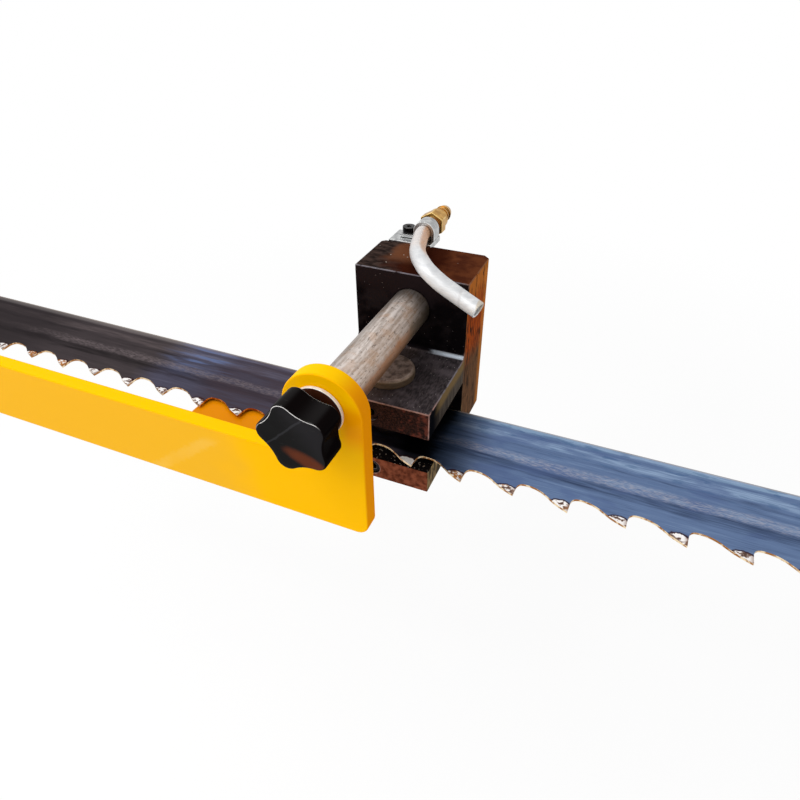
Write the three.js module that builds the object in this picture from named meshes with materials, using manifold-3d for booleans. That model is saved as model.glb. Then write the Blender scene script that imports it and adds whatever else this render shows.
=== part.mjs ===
// Blade guide of a log band sawmill: a C-shaped guide block with adjustable guide pins, a guard shaft
// with a swinging blade guard and its clamping knob, a drip tube, and the stretch of saw band that
// runs through the block's slot.
// Units are millimetres. X runs along the band in its cutting direction, Y points from the guard to
// the machine, and Z is up. The origin is the middle of the block's back face.
import * as THREE from 'three';
import { mergeVertices } from 'three/addons/utils/BufferGeometryUtils.js';
import Module from 'manifold-3d';

const wasm = await Module();
wasm.setup();

// Clearances shared by the whole object
const FIT_GAP = 0.3;
const RUNNING_GAP = 0.4;
const CUT_OVERRUN = 1;

// Numbers of sides for round shapes
const LARGE_ROUND_SIDES = 48;
const SMALL_ROUND_SIDES = 24;
const FILLET_STEPS = 6;
const HEX_SIDES = 6;

// Guide block, a C seen along X
const BLOCK = {
  width: 60,
  columnDepth: 35,
  jawReach: 50,
  lowerJaw: 13,
  slot: 20.5,
  upperJaw: 15,
  head: 41.5,
  backChamfer: 3,
  jawFillet: 3.5,
};

// Saw band and its teeth
const BAND = {
  width: 50,
  thickness: 1.1,
  aboveLowerJaw: 2.45,
  backGap: 2,
  toothPitch: 25,
  gulletDepth: 9,
  toothSet: 0.45,
  leftReach: 340,
  rightReach: 220,
  tipOffset: 12,
};

// Guide pins and the hard pads in their ends
const PIN = {
  headRadius: 13,
  headHeight: 5,
  shankRadius: 8,
  chamfer: 1.2,
  fromJawFront: 22.5,
  padRadius: 5.5,
  padSeatDepth: 2,
  padStandOut: 1,
};

// Set screws of the pins and of the shaft
const SET_SCREW = { radius: 4, recess: 1, socketRadius: 2.3, socketDepth: 4 };

// Thrust button behind the band and the grub screw that sets it
const THRUST = {
  slotClearance: 1.25,
  buttonLength: 8,
  backTravel: 2,
  chamfer: 0.8,
  screwRadius: 5,
  screwRecess: 3,
  socketRadius: 2.9,
  socketDepth: 5,
};

// Round shaft that carries the guard
const SHAFT = {
  radius: 10,
  belowTop: 18.4,
  boreDepth: 25,
  reach: 84,
  chamfer: 0.8,
  threadDepth: 20,
};

// Guard plate, bar and ear in one outline, and the tab welded behind it
const GUARD = {
  thickness: 8,
  earRadius: 18,
  barTopBelowShaft: 27.5,
  barHeight: 37,
  leftReach: 240,
  cornerRadius: 6,
  earShoulderAngle: 175,
  shoulderFillet: 6,
  holeRadius: 4.5,
};
const TAB = { depth: 46, thickness: 5, length: 50, rightEnd: -56, belowBand: 1.45, cornerRadius: 4 };

// Knob, its stud and its washer
const KNOB = {
  radius: 16,
  lobeRadius: 5,
  valleyRadius: 16,
  lobes: 5,
  firstLobeAngle: 34.4,
  besideShaft: -0.8,
  aboveShaft: 1.2,
  depth: 12.5,
  rimChamfer: 1.2,
  hubRadius: 8,
  hubLength: 5.2,
  studRadius: 4,
  studInKnob: 10,
  studInShaft: 16,
};
const WASHER = { radius: 11, holeRadius: 5.2, thickness: 2, offsetX: 0.3, offsetZ: 0.7 };

// Drip tube: straight over the block's back edge, then a rise and a bend to its open end in front
const TUBE = {
  radius: 4,
  wall: 1,
  sides: 16,
  steps: 44,
  aboveBlock: 1,
  fromBlockSide: 21.5,
  inletBehind: 24,
  sideReach: 48.8,
  inFront: 19,
  rise: 6,
};
const BARB = {
  length: 16,
  collarRadius: 5.6,
  collarLength: 5,
  ridgeRadius: 4.6,
  neckRadius: 3.7,
  boreRadius: 2.2,
  ridges: 3,
};
const TUBE_NUT = { cornerRadius: 7.2, length: 6, fromShelf: 1.5 };

// Angle bracket and hooked clip that hold the tube
const BRACKET = {
  width: 24,
  legHeight: 16,
  shelfDepth: 14,
  thickness: 3,
  seatDepth: 1,
  screwSpacing: 16,
  screwBelowShelf: 9,
};
const CLIP = { width: 8, thickness: 1.6, footLength: 8 };
const SMALL_SCREW = {
  radius: 2,
  headRadius: 3.5,
  headHeight: 3,
  length: 10,
  socketRadius: 1.6,
  socketDepth: 1.6,
};

// Tapped holes in the back face for whatever carries the block
const MOUNT_HOLE = { radius: 3.4, depth: 16, spacingX: 40, spacingZ: 50, centreZ: -9 };

// Places worked out from the sizes above
const blockHeight = BLOCK.lowerJaw + BLOCK.slot + BLOCK.upperJaw + BLOCK.head;
const blockTop = blockHeight / 2;
const blockBottom = -blockHeight / 2;
const lowerJawTop = blockBottom + BLOCK.lowerJaw;
const slotTop = lowerJawTop + BLOCK.slot;
const upperJawTop = slotTop + BLOCK.upperJaw;
const columnFront = -BLOCK.columnDepth;
const jawFront = columnFront - BLOCK.jawReach;
const pinY = jawFront + PIN.fromJawFront;
const slotMiddle = (lowerJawTop + slotTop) / 2;
const buttonRadius = BLOCK.slot / 2 - THRUST.slotClearance;

const bandBottom = lowerJawTop + BAND.aboveLowerJaw;
const bandTop = bandBottom + BAND.thickness;
const bandBack = columnFront - BAND.backGap;
const bandFront = bandBack - BAND.width;

const shaftZ = blockTop - SHAFT.belowTop;
const shaftInnerEnd = columnFront + SHAFT.boreDepth - FIT_GAP;
const guardBack = columnFront - SHAFT.reach;
const shaftOuterEnd = guardBack + FIT_GAP;
const guardFront = guardBack - GUARD.thickness;
const washerBack = guardFront - FIT_GAP;
const washerFront = washerBack - WASHER.thickness;
const hubBack = washerFront - FIT_GAP;
const knobBack = hubBack - KNOB.hubLength;
const knobFront = knobBack - KNOB.depth;
const knobX = KNOB.besideShaft;
const knobZ = shaftZ + KNOB.aboveShaft;
const barTop = shaftZ - GUARD.barTopBelowShaft;
const barBottom = barTop - GUARD.barHeight;

const tubeX = -BLOCK.width / 2 + TUBE.fromBlockSide;
const tubeZ = blockTop + TUBE.aboveBlock + TUBE.radius;
const shelfTop = tubeZ - TUBE.radius - FIT_GAP;
const shelfBottom = shelfTop - BRACKET.thickness;
const bracketBottom = shelfTop - BRACKET.legHeight;
const bracketScrewZ = shelfTop - BRACKET.screwBelowShelf;
const legFront = -BRACKET.seatDepth;
const legBack = legFront + BRACKET.thickness;
const clipY = (legBack + BRACKET.shelfDepth) / 2;
const clipOuterRadius = TUBE.radius + FIT_GAP + CLIP.thickness;
const clipScrewX = tubeX - clipOuterRadius - CLIP.footLength / 2;
const bracketMiddleX = tubeX + clipOuterRadius - BRACKET.width / 2;

// Materials, with the colours of the photograph
const blackSteel = new THREE.MeshStandardMaterial({ color: 0x1b1817, roughness: 0.45, metalness: 0.6 });
const wornSteel = new THREE.MeshStandardMaterial({ color: 0x9a8f83, roughness: 0.5, metalness: 0.8 });
const pinSteel = new THREE.MeshStandardMaterial({ color: 0x4c4440, roughness: 0.5, metalness: 0.8 });
const darkScrew = new THREE.MeshStandardMaterial({ color: 0x23211f, roughness: 0.4, metalness: 0.8 });
const zincSteel = new THREE.MeshStandardMaterial({ color: 0xc9c9c6, roughness: 0.35, metalness: 0.9 });
const hardPad = new THREE.MeshStandardMaterial({ color: 0x6d6f73, roughness: 0.3, metalness: 0.9 });
const bandSteel = new THREE.MeshStandardMaterial({ color: 0x4a6487, roughness: 0.4, metalness: 0.8 });
const yellowPaint = new THREE.MeshStandardMaterial({ color: 0xf8ba14, roughness: 0.35, metalness: 0 });
const blackPlastic = new THREE.MeshStandardMaterial({ color: 0x1c1b1c, roughness: 0.2, metalness: 0 });
const satinTube = new THREE.MeshStandardMaterial({ color: 0xd6d6d4, roughness: 0.35, metalness: 0.8 });
const brass = new THREE.MeshStandardMaterial({ color: 0xc79a4a, roughness: 0.35, metalness: 0.9 });

// Turns a geometry into one with shared corners, no empty triangles and its faces pointing out.
function closed(geometry) {
  const plain = geometry.clone();
  plain.deleteAttribute('normal');
  plain.deleteAttribute('uv');
  const welded = mergeVertices(plain);
  const points = welded.attributes.position;
  const kept = [];
  const corner = [new THREE.Vector3(), new THREE.Vector3(), new THREE.Vector3()];
  let volume = 0;
  for (let i = 0; i < welded.index.count; i += 3) {
    const [a, b, c] = [0, 1, 2].map((k) => welded.index.getX(i + k));
    if (a === b || b === c || c === a) continue;
    kept.push([a, b, c]);
    [a, b, c].forEach((index, k) => corner[k].fromBufferAttribute(points, index));
    volume += corner[0].dot(corner[1].clone().cross(corner[2]));
  }
  const facing = volume < 0 ? kept.map(([a, b, c]) => [a, c, b]) : kept;
  welded.setIndex(facing.flat());
  return welded;
}

function toSolid(geometry) {
  const body = closed(geometry);
  return new wasm.Manifold(new wasm.Mesh({
    numProp: 3,
    vertProperties: new Float32Array(body.attributes.position.array),
    triVerts: new Uint32Array(body.index.array),
  }));
}

function toGeometry(solid) {
  const mesh = solid.getMesh();
  const geometry = new THREE.BufferGeometry();
  geometry.setAttribute('position', new THREE.BufferAttribute(new Float32Array(mesh.vertProperties), 3));
  geometry.setIndex(new THREE.BufferAttribute(new Uint32Array(mesh.triVerts), 1));
  return geometry;
}

// Joins the added geometries to the base, then cuts the others away.
function shaped(base, { joined = [], cut = [] }) {
  let solid = toSolid(base);
  for (const piece of joined) solid = solid.add(toSolid(piece));
  for (const piece of cut) solid = solid.subtract(toSolid(piece));
  return toGeometry(solid);
}

const AXIS_TURN = {
  x: new THREE.Matrix4().makeBasis(
    new THREE.Vector3(0, 0, 1), new THREE.Vector3(1, 0, 0), new THREE.Vector3(0, 1, 0)),
  y: new THREE.Matrix4(),
  z: new THREE.Matrix4().makeRotationX(Math.PI / 2),
};

// A turned piece: [radius, place along the axis] pairs from one end to the other.
function turned(profile, axis, sides = LARGE_ROUND_SIDES) {
  const points = profile.map(([radius, along]) => new THREE.Vector2(radius, along));
  return closed(new THREE.LatheGeometry(points, sides)).applyMatrix4(AXIS_TURN[axis]);
}

function rod(radius, from, to, axis, sides = LARGE_ROUND_SIDES) {
  return turned([[0, from], [radius, from], [radius, to], [0, to]], axis, sides);
}

function box(xRange, yRange, zRange) {
  const [sizes, middles] = [xRange, yRange, zRange].reduce(
    ([s, m], [low, high]) => [[...s, high - low], [...m, (low + high) / 2]], [[], []]);
  return new THREE.BoxGeometry(...sizes).translate(...middles);
}

// Extrudes an outline drawn in the XZ plane from the front Y to the back Y.
function plateAcrossY(shape, front, back) {
  const turn = new THREE.Matrix4().makeBasis(
    new THREE.Vector3(1, 0, 0), new THREE.Vector3(0, 0, 1), new THREE.Vector3(0, -1, 0));
  const options = { depth: back - front, bevelEnabled: false, curveSegments: SMALL_ROUND_SIDES };
  return new THREE.ExtrudeGeometry(shape, options).applyMatrix4(turn).translate(0, back, 0);
}

// Extrudes an outline drawn in the YZ plane along X, centred on X zero.
function plateAcrossX(shape, width) {
  const turn = new THREE.Matrix4().makeBasis(
    new THREE.Vector3(0, 1, 0), new THREE.Vector3(0, 0, 1), new THREE.Vector3(1, 0, 0));
  const options = { depth: width, bevelEnabled: false, curveSegments: FILLET_STEPS };
  return new THREE.ExtrudeGeometry(shape, options).applyMatrix4(turn).translate(-width / 2, 0, 0);
}

function radians(degrees) {
  return THREE.MathUtils.degToRad(degrees);
}

// A grub screw that lies along an axis with its socket at the outer end.
function setScrew(radius, outer, inner, socketRadius, socketDepth, axis) {
  const inward = Math.sign(inner - outer);
  const socket = rod(socketRadius, outer - inward * CUT_OVERRUN, outer + inward * socketDepth, axis,
    HEX_SIDES);
  return shaped(rod(radius, outer, inner, axis, SMALL_ROUND_SIDES), { cut: [socket] });
}

function mesh(name, geometry, material) {
  const piece = new THREE.Mesh(geometry, material);
  piece.name = name;
  return piece;
}

function blockOutline() {
  const shape = new THREE.Shape();
  shape.moveTo(0, blockBottom);
  shape.lineTo(0, blockTop);
  shape.lineTo(columnFront, blockTop);
  shape.lineTo(columnFront, upperJawTop + BLOCK.jawFillet);
  shape.absarc(columnFront - BLOCK.jawFillet, upperJawTop + BLOCK.jawFillet, BLOCK.jawFillet,
    0, -Math.PI / 2, true);
  shape.lineTo(jawFront, upperJawTop);
  shape.lineTo(jawFront, slotTop);
  shape.lineTo(columnFront, slotTop);
  shape.lineTo(columnFront, lowerJawTop);
  shape.lineTo(jawFront, lowerJawTop);
  shape.lineTo(jawFront, blockBottom);
  return shape;
}

// The wedge that clips one of the block's back corners. Side is -1 for the left and 1 for the right.
function backCornerWedge(side) {
  const corner = side * BLOCK.width / 2;
  const over = CUT_OVERRUN;
  const wedge = new THREE.Shape();
  wedge.moveTo(corner + side * over, over);
  wedge.lineTo(corner - side * (BLOCK.backChamfer + over), over);
  wedge.lineTo(corner + side * over, -BLOCK.backChamfer - over);
  const options = { depth: blockHeight + 2 * over, bevelEnabled: false };
  return new THREE.ExtrudeGeometry(wedge, options).translate(0, 0, blockBottom - over);
}

function mountHoles() {
  const holes = [];
  for (const x of [-MOUNT_HOLE.spacingX / 2, MOUNT_HOLE.spacingX / 2]) {
    for (const dz of [-MOUNT_HOLE.spacingZ / 2, MOUNT_HOLE.spacingZ / 2]) {
      const hole = rod(MOUNT_HOLE.radius, -MOUNT_HOLE.depth, CUT_OVERRUN, 'y', SMALL_ROUND_SIDES);
      holes.push(hole.translate(x, 0, MOUNT_HOLE.centreZ + dz));
    }
  }
  return holes;
}

// The shallow step that seats the bracket's leg, so that the rest of the back face takes a plate flat.
function bracketSeat() {
  const right = bracketMiddleX + BRACKET.width / 2 + FIT_GAP;
  return box([-BLOCK.width / 2 - CUT_OVERRUN, right], [legFront, CUT_OVERRUN],
    [bracketBottom - FIT_GAP, blockTop + CUT_OVERRUN]);
}

function bracketScrewPlaces() {
  return [-1, 1].map((side) => bracketMiddleX + side * BRACKET.screwSpacing / 2);
}

function guideBlock() {
  const over = CUT_OVERRUN;
  const screwBore = SET_SCREW.radius + FIT_GAP;
  const pinBore = rod(PIN.shankRadius + FIT_GAP, blockBottom - over, upperJawTop + over, 'z');
  const shaftBore = rod(SHAFT.radius + FIT_GAP, columnFront - over, columnFront + SHAFT.boreDepth, 'y');
  const shaftScrewHole = rod(screwBore, -BLOCK.width / 2 - over, 0, 'x', SMALL_ROUND_SIDES)
    .translate(0, columnFront + SHAFT.boreDepth / 2, shaftZ);
  const jawScrewHole = (z) => rod(screwBore, jawFront - over, pinY, 'y', SMALL_ROUND_SIDES)
    .translate(0, 0, z);
  const buttonBore = rod(buttonRadius + FIT_GAP, columnFront - over, buttonBoreEnd(), 'y');
  const thrustScrewHole = rod(THRUST.screwRadius + FIT_GAP, columnFront, over, 'y', SMALL_ROUND_SIDES);
  const bracketHoles = bracketScrewPlaces().map((x) =>
    rod(SMALL_SCREW.radius + FIT_GAP, legBack - SMALL_SCREW.length - over, over, 'y',
      SMALL_ROUND_SIDES).translate(x, 0, bracketScrewZ));
  return shaped(plateAcrossX(blockOutline(), BLOCK.width), {
    cut: [
      backCornerWedge(-1),
      backCornerWedge(1),
      bracketSeat(),
      pinBore.translate(0, pinY, 0),
      shaftBore.translate(0, 0, shaftZ),
      shaftScrewHole,
      jawScrewHole((slotTop + upperJawTop) / 2),
      jawScrewHole((blockBottom + lowerJawTop) / 2),
      buttonBore.translate(0, 0, slotMiddle),
      thrustScrewHole.translate(0, 0, slotMiddle),
      ...mountHoles(),
      ...bracketHoles,
    ],
  });
}

// A guide pin with its head at headSide of the jaw face and a seat for the pad in its other end.
// Up is 1 where the head is above the shank and -1 where it is below.
function guidePin(jawFace, padFace, up) {
  const top = jawFace + up * PIN.headHeight;
  const tip = padFace + up * PIN.padStandOut;
  const body = turned([
    [0, top],
    [PIN.headRadius - PIN.chamfer, top],
    [PIN.headRadius, top - up * PIN.chamfer],
    [PIN.headRadius, jawFace + up * FIT_GAP],
    [PIN.shankRadius, jawFace + up * FIT_GAP],
    [PIN.shankRadius, tip],
    [0, tip],
  ], 'z');
  const seat = rod(PIN.padRadius + FIT_GAP, padFace, tip + up * (PIN.padSeatDepth + FIT_GAP), 'z',
    SMALL_ROUND_SIDES);
  return shaped(body, { cut: [seat] });
}

function wearPad(padFace, up) {
  return rod(PIN.padRadius, padFace, padFace + up * (PIN.padStandOut + PIN.padSeatDepth), 'z',
    SMALL_ROUND_SIDES);
}

function pinSetScrew() {
  return setScrew(SET_SCREW.radius, jawFront + SET_SCREW.recess, pinY - PIN.shankRadius - FIT_GAP,
    SET_SCREW.socketRadius, SET_SCREW.socketDepth, 'y');
}

function shaftSetScrew() {
  return setScrew(SET_SCREW.radius, -BLOCK.width / 2 + SET_SCREW.recess, -SHAFT.radius - FIT_GAP,
    SET_SCREW.socketRadius, SET_SCREW.socketDepth, 'x');
}

function buttonFace() {
  return bandBack + RUNNING_GAP;
}

function buttonBoreEnd() {
  return buttonFace() + THRUST.buttonLength + THRUST.backTravel + FIT_GAP;
}

function thrustButton() {
  const face = buttonFace();
  const inner = face + THRUST.buttonLength;
  return turned([
    [0, face],
    [buttonRadius - THRUST.chamfer, face],
    [buttonRadius, face + THRUST.chamfer],
    [buttonRadius, inner],
    [0, inner],
  ], 'y', SMALL_ROUND_SIDES);
}

function thrustScrew() {
  const tip = buttonFace() + THRUST.buttonLength + FIT_GAP;
  return setScrew(THRUST.screwRadius, -THRUST.screwRecess, tip, THRUST.socketRadius,
    THRUST.socketDepth, 'y');
}

function guardShaft() {
  const body = turned([
    [0, shaftOuterEnd],
    [SHAFT.radius - SHAFT.chamfer, shaftOuterEnd],
    [SHAFT.radius, shaftOuterEnd + SHAFT.chamfer],
    [SHAFT.radius, shaftInnerEnd - SHAFT.chamfer],
    [SHAFT.radius - SHAFT.chamfer, shaftInnerEnd],
    [0, shaftInnerEnd],
  ], 'y');
  const thread = rod(KNOB.studRadius + FIT_GAP, shaftOuterEnd - CUT_OVERRUN,
    shaftOuterEnd + SHAFT.threadDepth, 'y', SMALL_ROUND_SIDES)
    .translate(KNOB.besideShaft, 0, KNOB.aboveShaft);
  return shaped(body, { cut: [thread] }).translate(0, 0, shaftZ);
}

// The bar and its ear, drawn with the shaft's axis as the ear's centre. The ear's left side leaves
// its round at the shoulder angle and runs straight down to a fillet on the bar's top.
function guardOutline() {
  const { earRadius, cornerRadius, shoulderFillet } = GUARD;
  const angle = radians(GUARD.earShoulderAngle);
  const shoulderStart = new THREE.Vector2(
    earRadius * Math.cos(angle), shaftZ + earRadius * Math.sin(angle));
  const shoulderX = (z) => shoulderStart.x + (shoulderStart.y - z) * Math.tan(angle);
  const filletTop = barTop - shoulderFillet * Math.cos(angle);
  const shape = new THREE.Shape();
  shape.moveTo(earRadius, shaftZ);
  shape.absarc(0, shaftZ, earRadius, 0, angle, false);
  shape.lineTo(shoulderX(filletTop), filletTop);
  shape.quadraticCurveTo(shoulderX(barTop), barTop, shoulderX(barTop) - shoulderFillet, barTop);
  shape.lineTo(-GUARD.leftReach + cornerRadius, barTop);
  shape.absarc(-GUARD.leftReach + cornerRadius, barTop - cornerRadius, cornerRadius,
    Math.PI / 2, Math.PI, false);
  shape.lineTo(-GUARD.leftReach, barBottom + cornerRadius);
  shape.absarc(-GUARD.leftReach + cornerRadius, barBottom + cornerRadius, cornerRadius,
    Math.PI, 1.5 * Math.PI, false);
  shape.lineTo(earRadius - cornerRadius, barBottom);
  shape.absarc(earRadius - cornerRadius, barBottom + cornerRadius, cornerRadius,
    1.5 * Math.PI, 2 * Math.PI, false);
  return shape;
}

function bladeGuard() {
  const hole = rod(GUARD.holeRadius, guardFront - CUT_OVERRUN, guardBack + CUT_OVERRUN, 'y',
    SMALL_ROUND_SIDES).translate(knobX, 0, knobZ);
  return shaped(plateAcrossY(guardOutline(), guardFront, guardBack), { cut: [hole] });
}

// A flat plate under the band's teeth, with its two rear corners rounded.
function guardTab() {
  const { length, depth, rightEnd, cornerRadius } = TAB;
  const back = guardBack + depth;
  const shape = new THREE.Shape();
  shape.moveTo(rightEnd - length, guardBack);
  shape.lineTo(rightEnd, guardBack);
  shape.lineTo(rightEnd, back - cornerRadius);
  shape.absarc(rightEnd - cornerRadius, back - cornerRadius, cornerRadius, 0, Math.PI / 2, false);
  shape.lineTo(rightEnd - length + cornerRadius, back);
  shape.absarc(rightEnd - length + cornerRadius, back - cornerRadius, cornerRadius,
    Math.PI / 2, Math.PI, false);
  const options = { depth: TAB.thickness, bevelEnabled: false, curveSegments: FILLET_STEPS };
  return new THREE.ExtrudeGeometry(shape, options)
    .translate(0, 0, bandBottom - TAB.belowBand - TAB.thickness);
}

function knobWasher() {
  const { radius, holeRadius } = WASHER;
  return turned([
    [holeRadius, washerBack],
    [radius, washerBack],
    [radius, washerFront],
    [holeRadius, washerFront],
    [holeRadius, washerBack],
  ], 'y').translate(knobX + WASHER.offsetX, 0, knobZ + WASHER.offsetZ);
}

// The knob's outline: a round lobe at each step, with a hollow arc between neighbours.
function knobOutline(inset) {
  const lobeRadius = KNOB.lobeRadius - inset;
  const valleyRadius = KNOB.valleyRadius + inset;
  const lobeCentre = KNOB.radius - KNOB.lobeRadius;
  const halfStep = Math.PI / KNOB.lobes;
  const halfChord = lobeCentre * Math.sin(halfStep);
  const reach = lobeRadius + valleyRadius;
  const valleyCentre = lobeCentre * Math.cos(halfStep) + Math.sqrt(reach ** 2 - halfChord ** 2);
  const lean = Math.acos(halfChord / reach);
  const shape = new THREE.Shape();
  for (let i = 0; i < KNOB.lobes; i += 1) {
    const middle = radians(KNOB.firstLobeAngle) + 2 * halfStep * i;
    const spread = Math.PI / 2 + halfStep - lean;
    const x = lobeCentre * Math.cos(middle);
    const z = lobeCentre * Math.sin(middle);
    if (i === 0) {
      shape.moveTo(x + lobeRadius * Math.cos(middle - spread),
        z + lobeRadius * Math.sin(middle - spread));
    }
    shape.absarc(x, z, lobeRadius, middle - spread, middle + spread, false);
    const next = middle + halfStep;
    shape.absarc(valleyCentre * Math.cos(next), valleyCentre * Math.sin(next), valleyRadius,
      next - Math.PI / 2 - lean, next + Math.PI / 2 + lean, true);
  }
  return shape;
}

function starKnob() {
  const sides = { depth: KNOB.depth - KNOB.rimChamfer, bevelEnabled: false, curveSegments: FILLET_STEPS };
  const turn = new THREE.Matrix4().makeBasis(
    new THREE.Vector3(1, 0, 0), new THREE.Vector3(0, 0, 1), new THREE.Vector3(0, -1, 0));
  const body = new THREE.ExtrudeGeometry(knobOutline(0), sides)
    .applyMatrix4(turn).translate(0, knobBack, 0);
  const rim = new THREE.ExtrudeGeometry(knobOutline(KNOB.rimChamfer / 2),
    { ...sides, depth: KNOB.depth }).applyMatrix4(turn).translate(0, knobBack, 0);
  const hub = rod(KNOB.hubRadius, knobBack - KNOB.rimChamfer, hubBack, 'y');
  const studHole = rod(KNOB.studRadius + FIT_GAP, hubBack - KNOB.studInKnob, hubBack + CUT_OVERRUN, 'y',
    SMALL_ROUND_SIDES);
  return shaped(body, { joined: [rim, hub], cut: [studHole] }).translate(knobX, 0, knobZ);
}

function knobStud() {
  return rod(KNOB.studRadius, hubBack - KNOB.studInKnob + FIT_GAP, guardBack + KNOB.studInShaft, 'y',
    SMALL_ROUND_SIDES).translate(knobX, 0, knobZ);
}

// One tooth from its tip to the next gullet's end, as shares of the pitch and of the gullet's depth.
const TOOTH_SHARES = [
  [0, 0], [0.01, 0.62], [0.04, 0.83], [0.09, 0.95], [0.17, 1], [0.28, 0.985], [0.38, 0.93],
  [0.5, 0.78], [0.62, 0.56], [0.72, 0.36],
];

// The band is a flat strip whose front edge carries the teeth. Each tip is bent up or down in turn.
function sawBand() {
  const shape = new THREE.Shape();
  const firstTip = -BAND.leftReach + BAND.tipOffset;
  const teeth = Math.floor((BAND.leftReach + BAND.rightReach - BAND.tipOffset) / BAND.toothPitch);
  const gulletLine = bandFront + BAND.gulletDepth;
  shape.moveTo(-BAND.leftReach, bandBack);
  shape.lineTo(-BAND.leftReach, gulletLine);
  for (let tooth = 0; tooth < teeth; tooth += 1) {
    for (const [along, depth] of TOOTH_SHARES) {
      shape.lineTo(firstTip + (tooth + along) * BAND.toothPitch, bandFront + depth * BAND.gulletDepth);
    }
  }
  shape.lineTo(firstTip + teeth * BAND.toothPitch, bandFront);
  shape.lineTo(firstTip + teeth * BAND.toothPitch, gulletLine);
  shape.lineTo(BAND.rightReach, gulletLine);
  shape.lineTo(BAND.rightReach, bandBack);
  const options = { depth: BAND.thickness, bevelEnabled: false };
  const strip = closed(new THREE.ExtrudeGeometry(shape, options).translate(0, 0, bandBottom));
  const points = strip.attributes.position;
  for (let i = 0; i < points.count; i += 1) {
    const share = Math.max(0, 1 - (points.getY(i) - bandFront) / (BAND.gulletDepth / 2));
    const tooth = Math.round((points.getX(i) - firstTip) / BAND.toothPitch);
    const side = tooth % 2 === 0 ? 1 : -1;
    points.setZ(i, points.getZ(i) + side * share * BAND.toothSet);
  }
  return strip;
}

// Centre line of the drip tube from its inlet to its open end, as shares of how far it reaches
// sideways, from the block's back face to its place in front, and of its rise over the straight part.
const TUBE_ROUTE_SHARES = [
  [0, -0.44, 0], [0, -0.22, 0], [0, -0.04, 0], [0.043, 0.13, 0.02], [0.127, 0.37, 0.25],
  [0.223, 0.576, 0.64], [0.33, 0.756, 0.93], [0.452, 0.884, 0.8], [0.593, 0.927, 0.22],
  [0.793, 0.957, -0.49], [1, 1, -1.11],
];

function tubeRoute() {
  const forward = columnFront - TUBE.inFront;
  const points = TUBE_ROUTE_SHARES.map(([side, along, up]) => new THREE.Vector3(
    tubeX + side * TUBE.sideReach, along * forward, tubeZ + up * TUBE.rise));
  points[0].y = TUBE.inletBehind;
  points[1].y = TUBE.inletBehind / 2;
  return new THREE.CatmullRomCurve3(points, false, 'centripetal');
}

function circle(radius) {
  const shape = new THREE.Shape();
  shape.absarc(0, 0, radius, 0, 2 * Math.PI, false);
  return shape;
}

function dripTube() {
  const shape = circle(TUBE.radius);
  shape.holes.push(circle(TUBE.radius - TUBE.wall));
  const options = { steps: TUBE.steps, extrudePath: tubeRoute(), curveSegments: TUBE.sides / 2 };
  return closed(new THREE.ExtrudeGeometry(shape, options));
}

function tubeNut() {
  const start = BRACKET.shelfDepth + TUBE_NUT.fromShelf;
  const hex = rod(TUBE_NUT.cornerRadius, start, start + TUBE_NUT.length, 'y', HEX_SIDES);
  const bore = rod(TUBE.radius + FIT_GAP, start - CUT_OVERRUN, start + TUBE_NUT.length + CUT_OVERRUN,
    'y', SMALL_ROUND_SIDES);
  return shaped(hex, { cut: [bore] }).translate(tubeX, 0, tubeZ);
}

// The brass inlet: a collar over the tube's end, then ridges that hold the feed hose.
function hoseBarb() {
  const { collarRadius, collarLength, ridgeRadius, neckRadius, boreRadius, ridges } = BARB;
  const start = BRACKET.shelfDepth + TUBE_NUT.fromShelf + TUBE_NUT.length + FIT_GAP;
  const end = start + BARB.length;
  const seat = TUBE.inletBehind + FIT_GAP;
  const ridgeLength = (BARB.length - collarLength) / ridges;
  const profile = [[TUBE.radius + FIT_GAP, start], [collarRadius, start],
    [collarRadius, start + collarLength]];
  for (let i = 0; i < ridges; i += 1) {
    const ridgeStart = start + collarLength + i * ridgeLength;
    profile.push([i === 0 ? neckRadius : ridgeRadius, ridgeStart]);
    profile.push([ridgeRadius, ridgeStart + (i === 0 ? ridgeLength / 2 : 0)]);
    profile.push([neckRadius, ridgeStart + ridgeLength]);
  }
  profile.push([boreRadius, end], [boreRadius, seat], [TUBE.radius + FIT_GAP, seat],
    [TUBE.radius + FIT_GAP, start]);
  return turned(profile, 'y', SMALL_ROUND_SIDES).translate(tubeX, 0, tubeZ);
}

function bracketOutline() {
  const shape = new THREE.Shape();
  shape.moveTo(legFront, bracketBottom);
  shape.lineTo(legBack, bracketBottom);
  shape.lineTo(legBack, shelfBottom);
  shape.lineTo(BRACKET.shelfDepth, shelfBottom);
  shape.lineTo(BRACKET.shelfDepth, shelfTop);
  shape.lineTo(legFront, shelfTop);
  return shape;
}

function clipScrewHole() {
  return rod(SMALL_SCREW.radius + FIT_GAP, shelfBottom - CUT_OVERRUN, tubeZ, 'z', SMALL_ROUND_SIDES)
    .translate(clipScrewX, clipY, 0);
}

function tubeBracket() {
  const legHoles = bracketScrewPlaces().map((x) =>
    rod(SMALL_SCREW.radius + FIT_GAP, legFront - CUT_OVERRUN, legBack + CUT_OVERRUN, 'y',
      SMALL_ROUND_SIDES).translate(x, 0, bracketScrewZ));
  const angle = plateAcrossX(bracketOutline(), BRACKET.width).translate(bracketMiddleX, 0, 0);
  return shaped(angle, { cut: [...legHoles, clipScrewHole()] });
}

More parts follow.
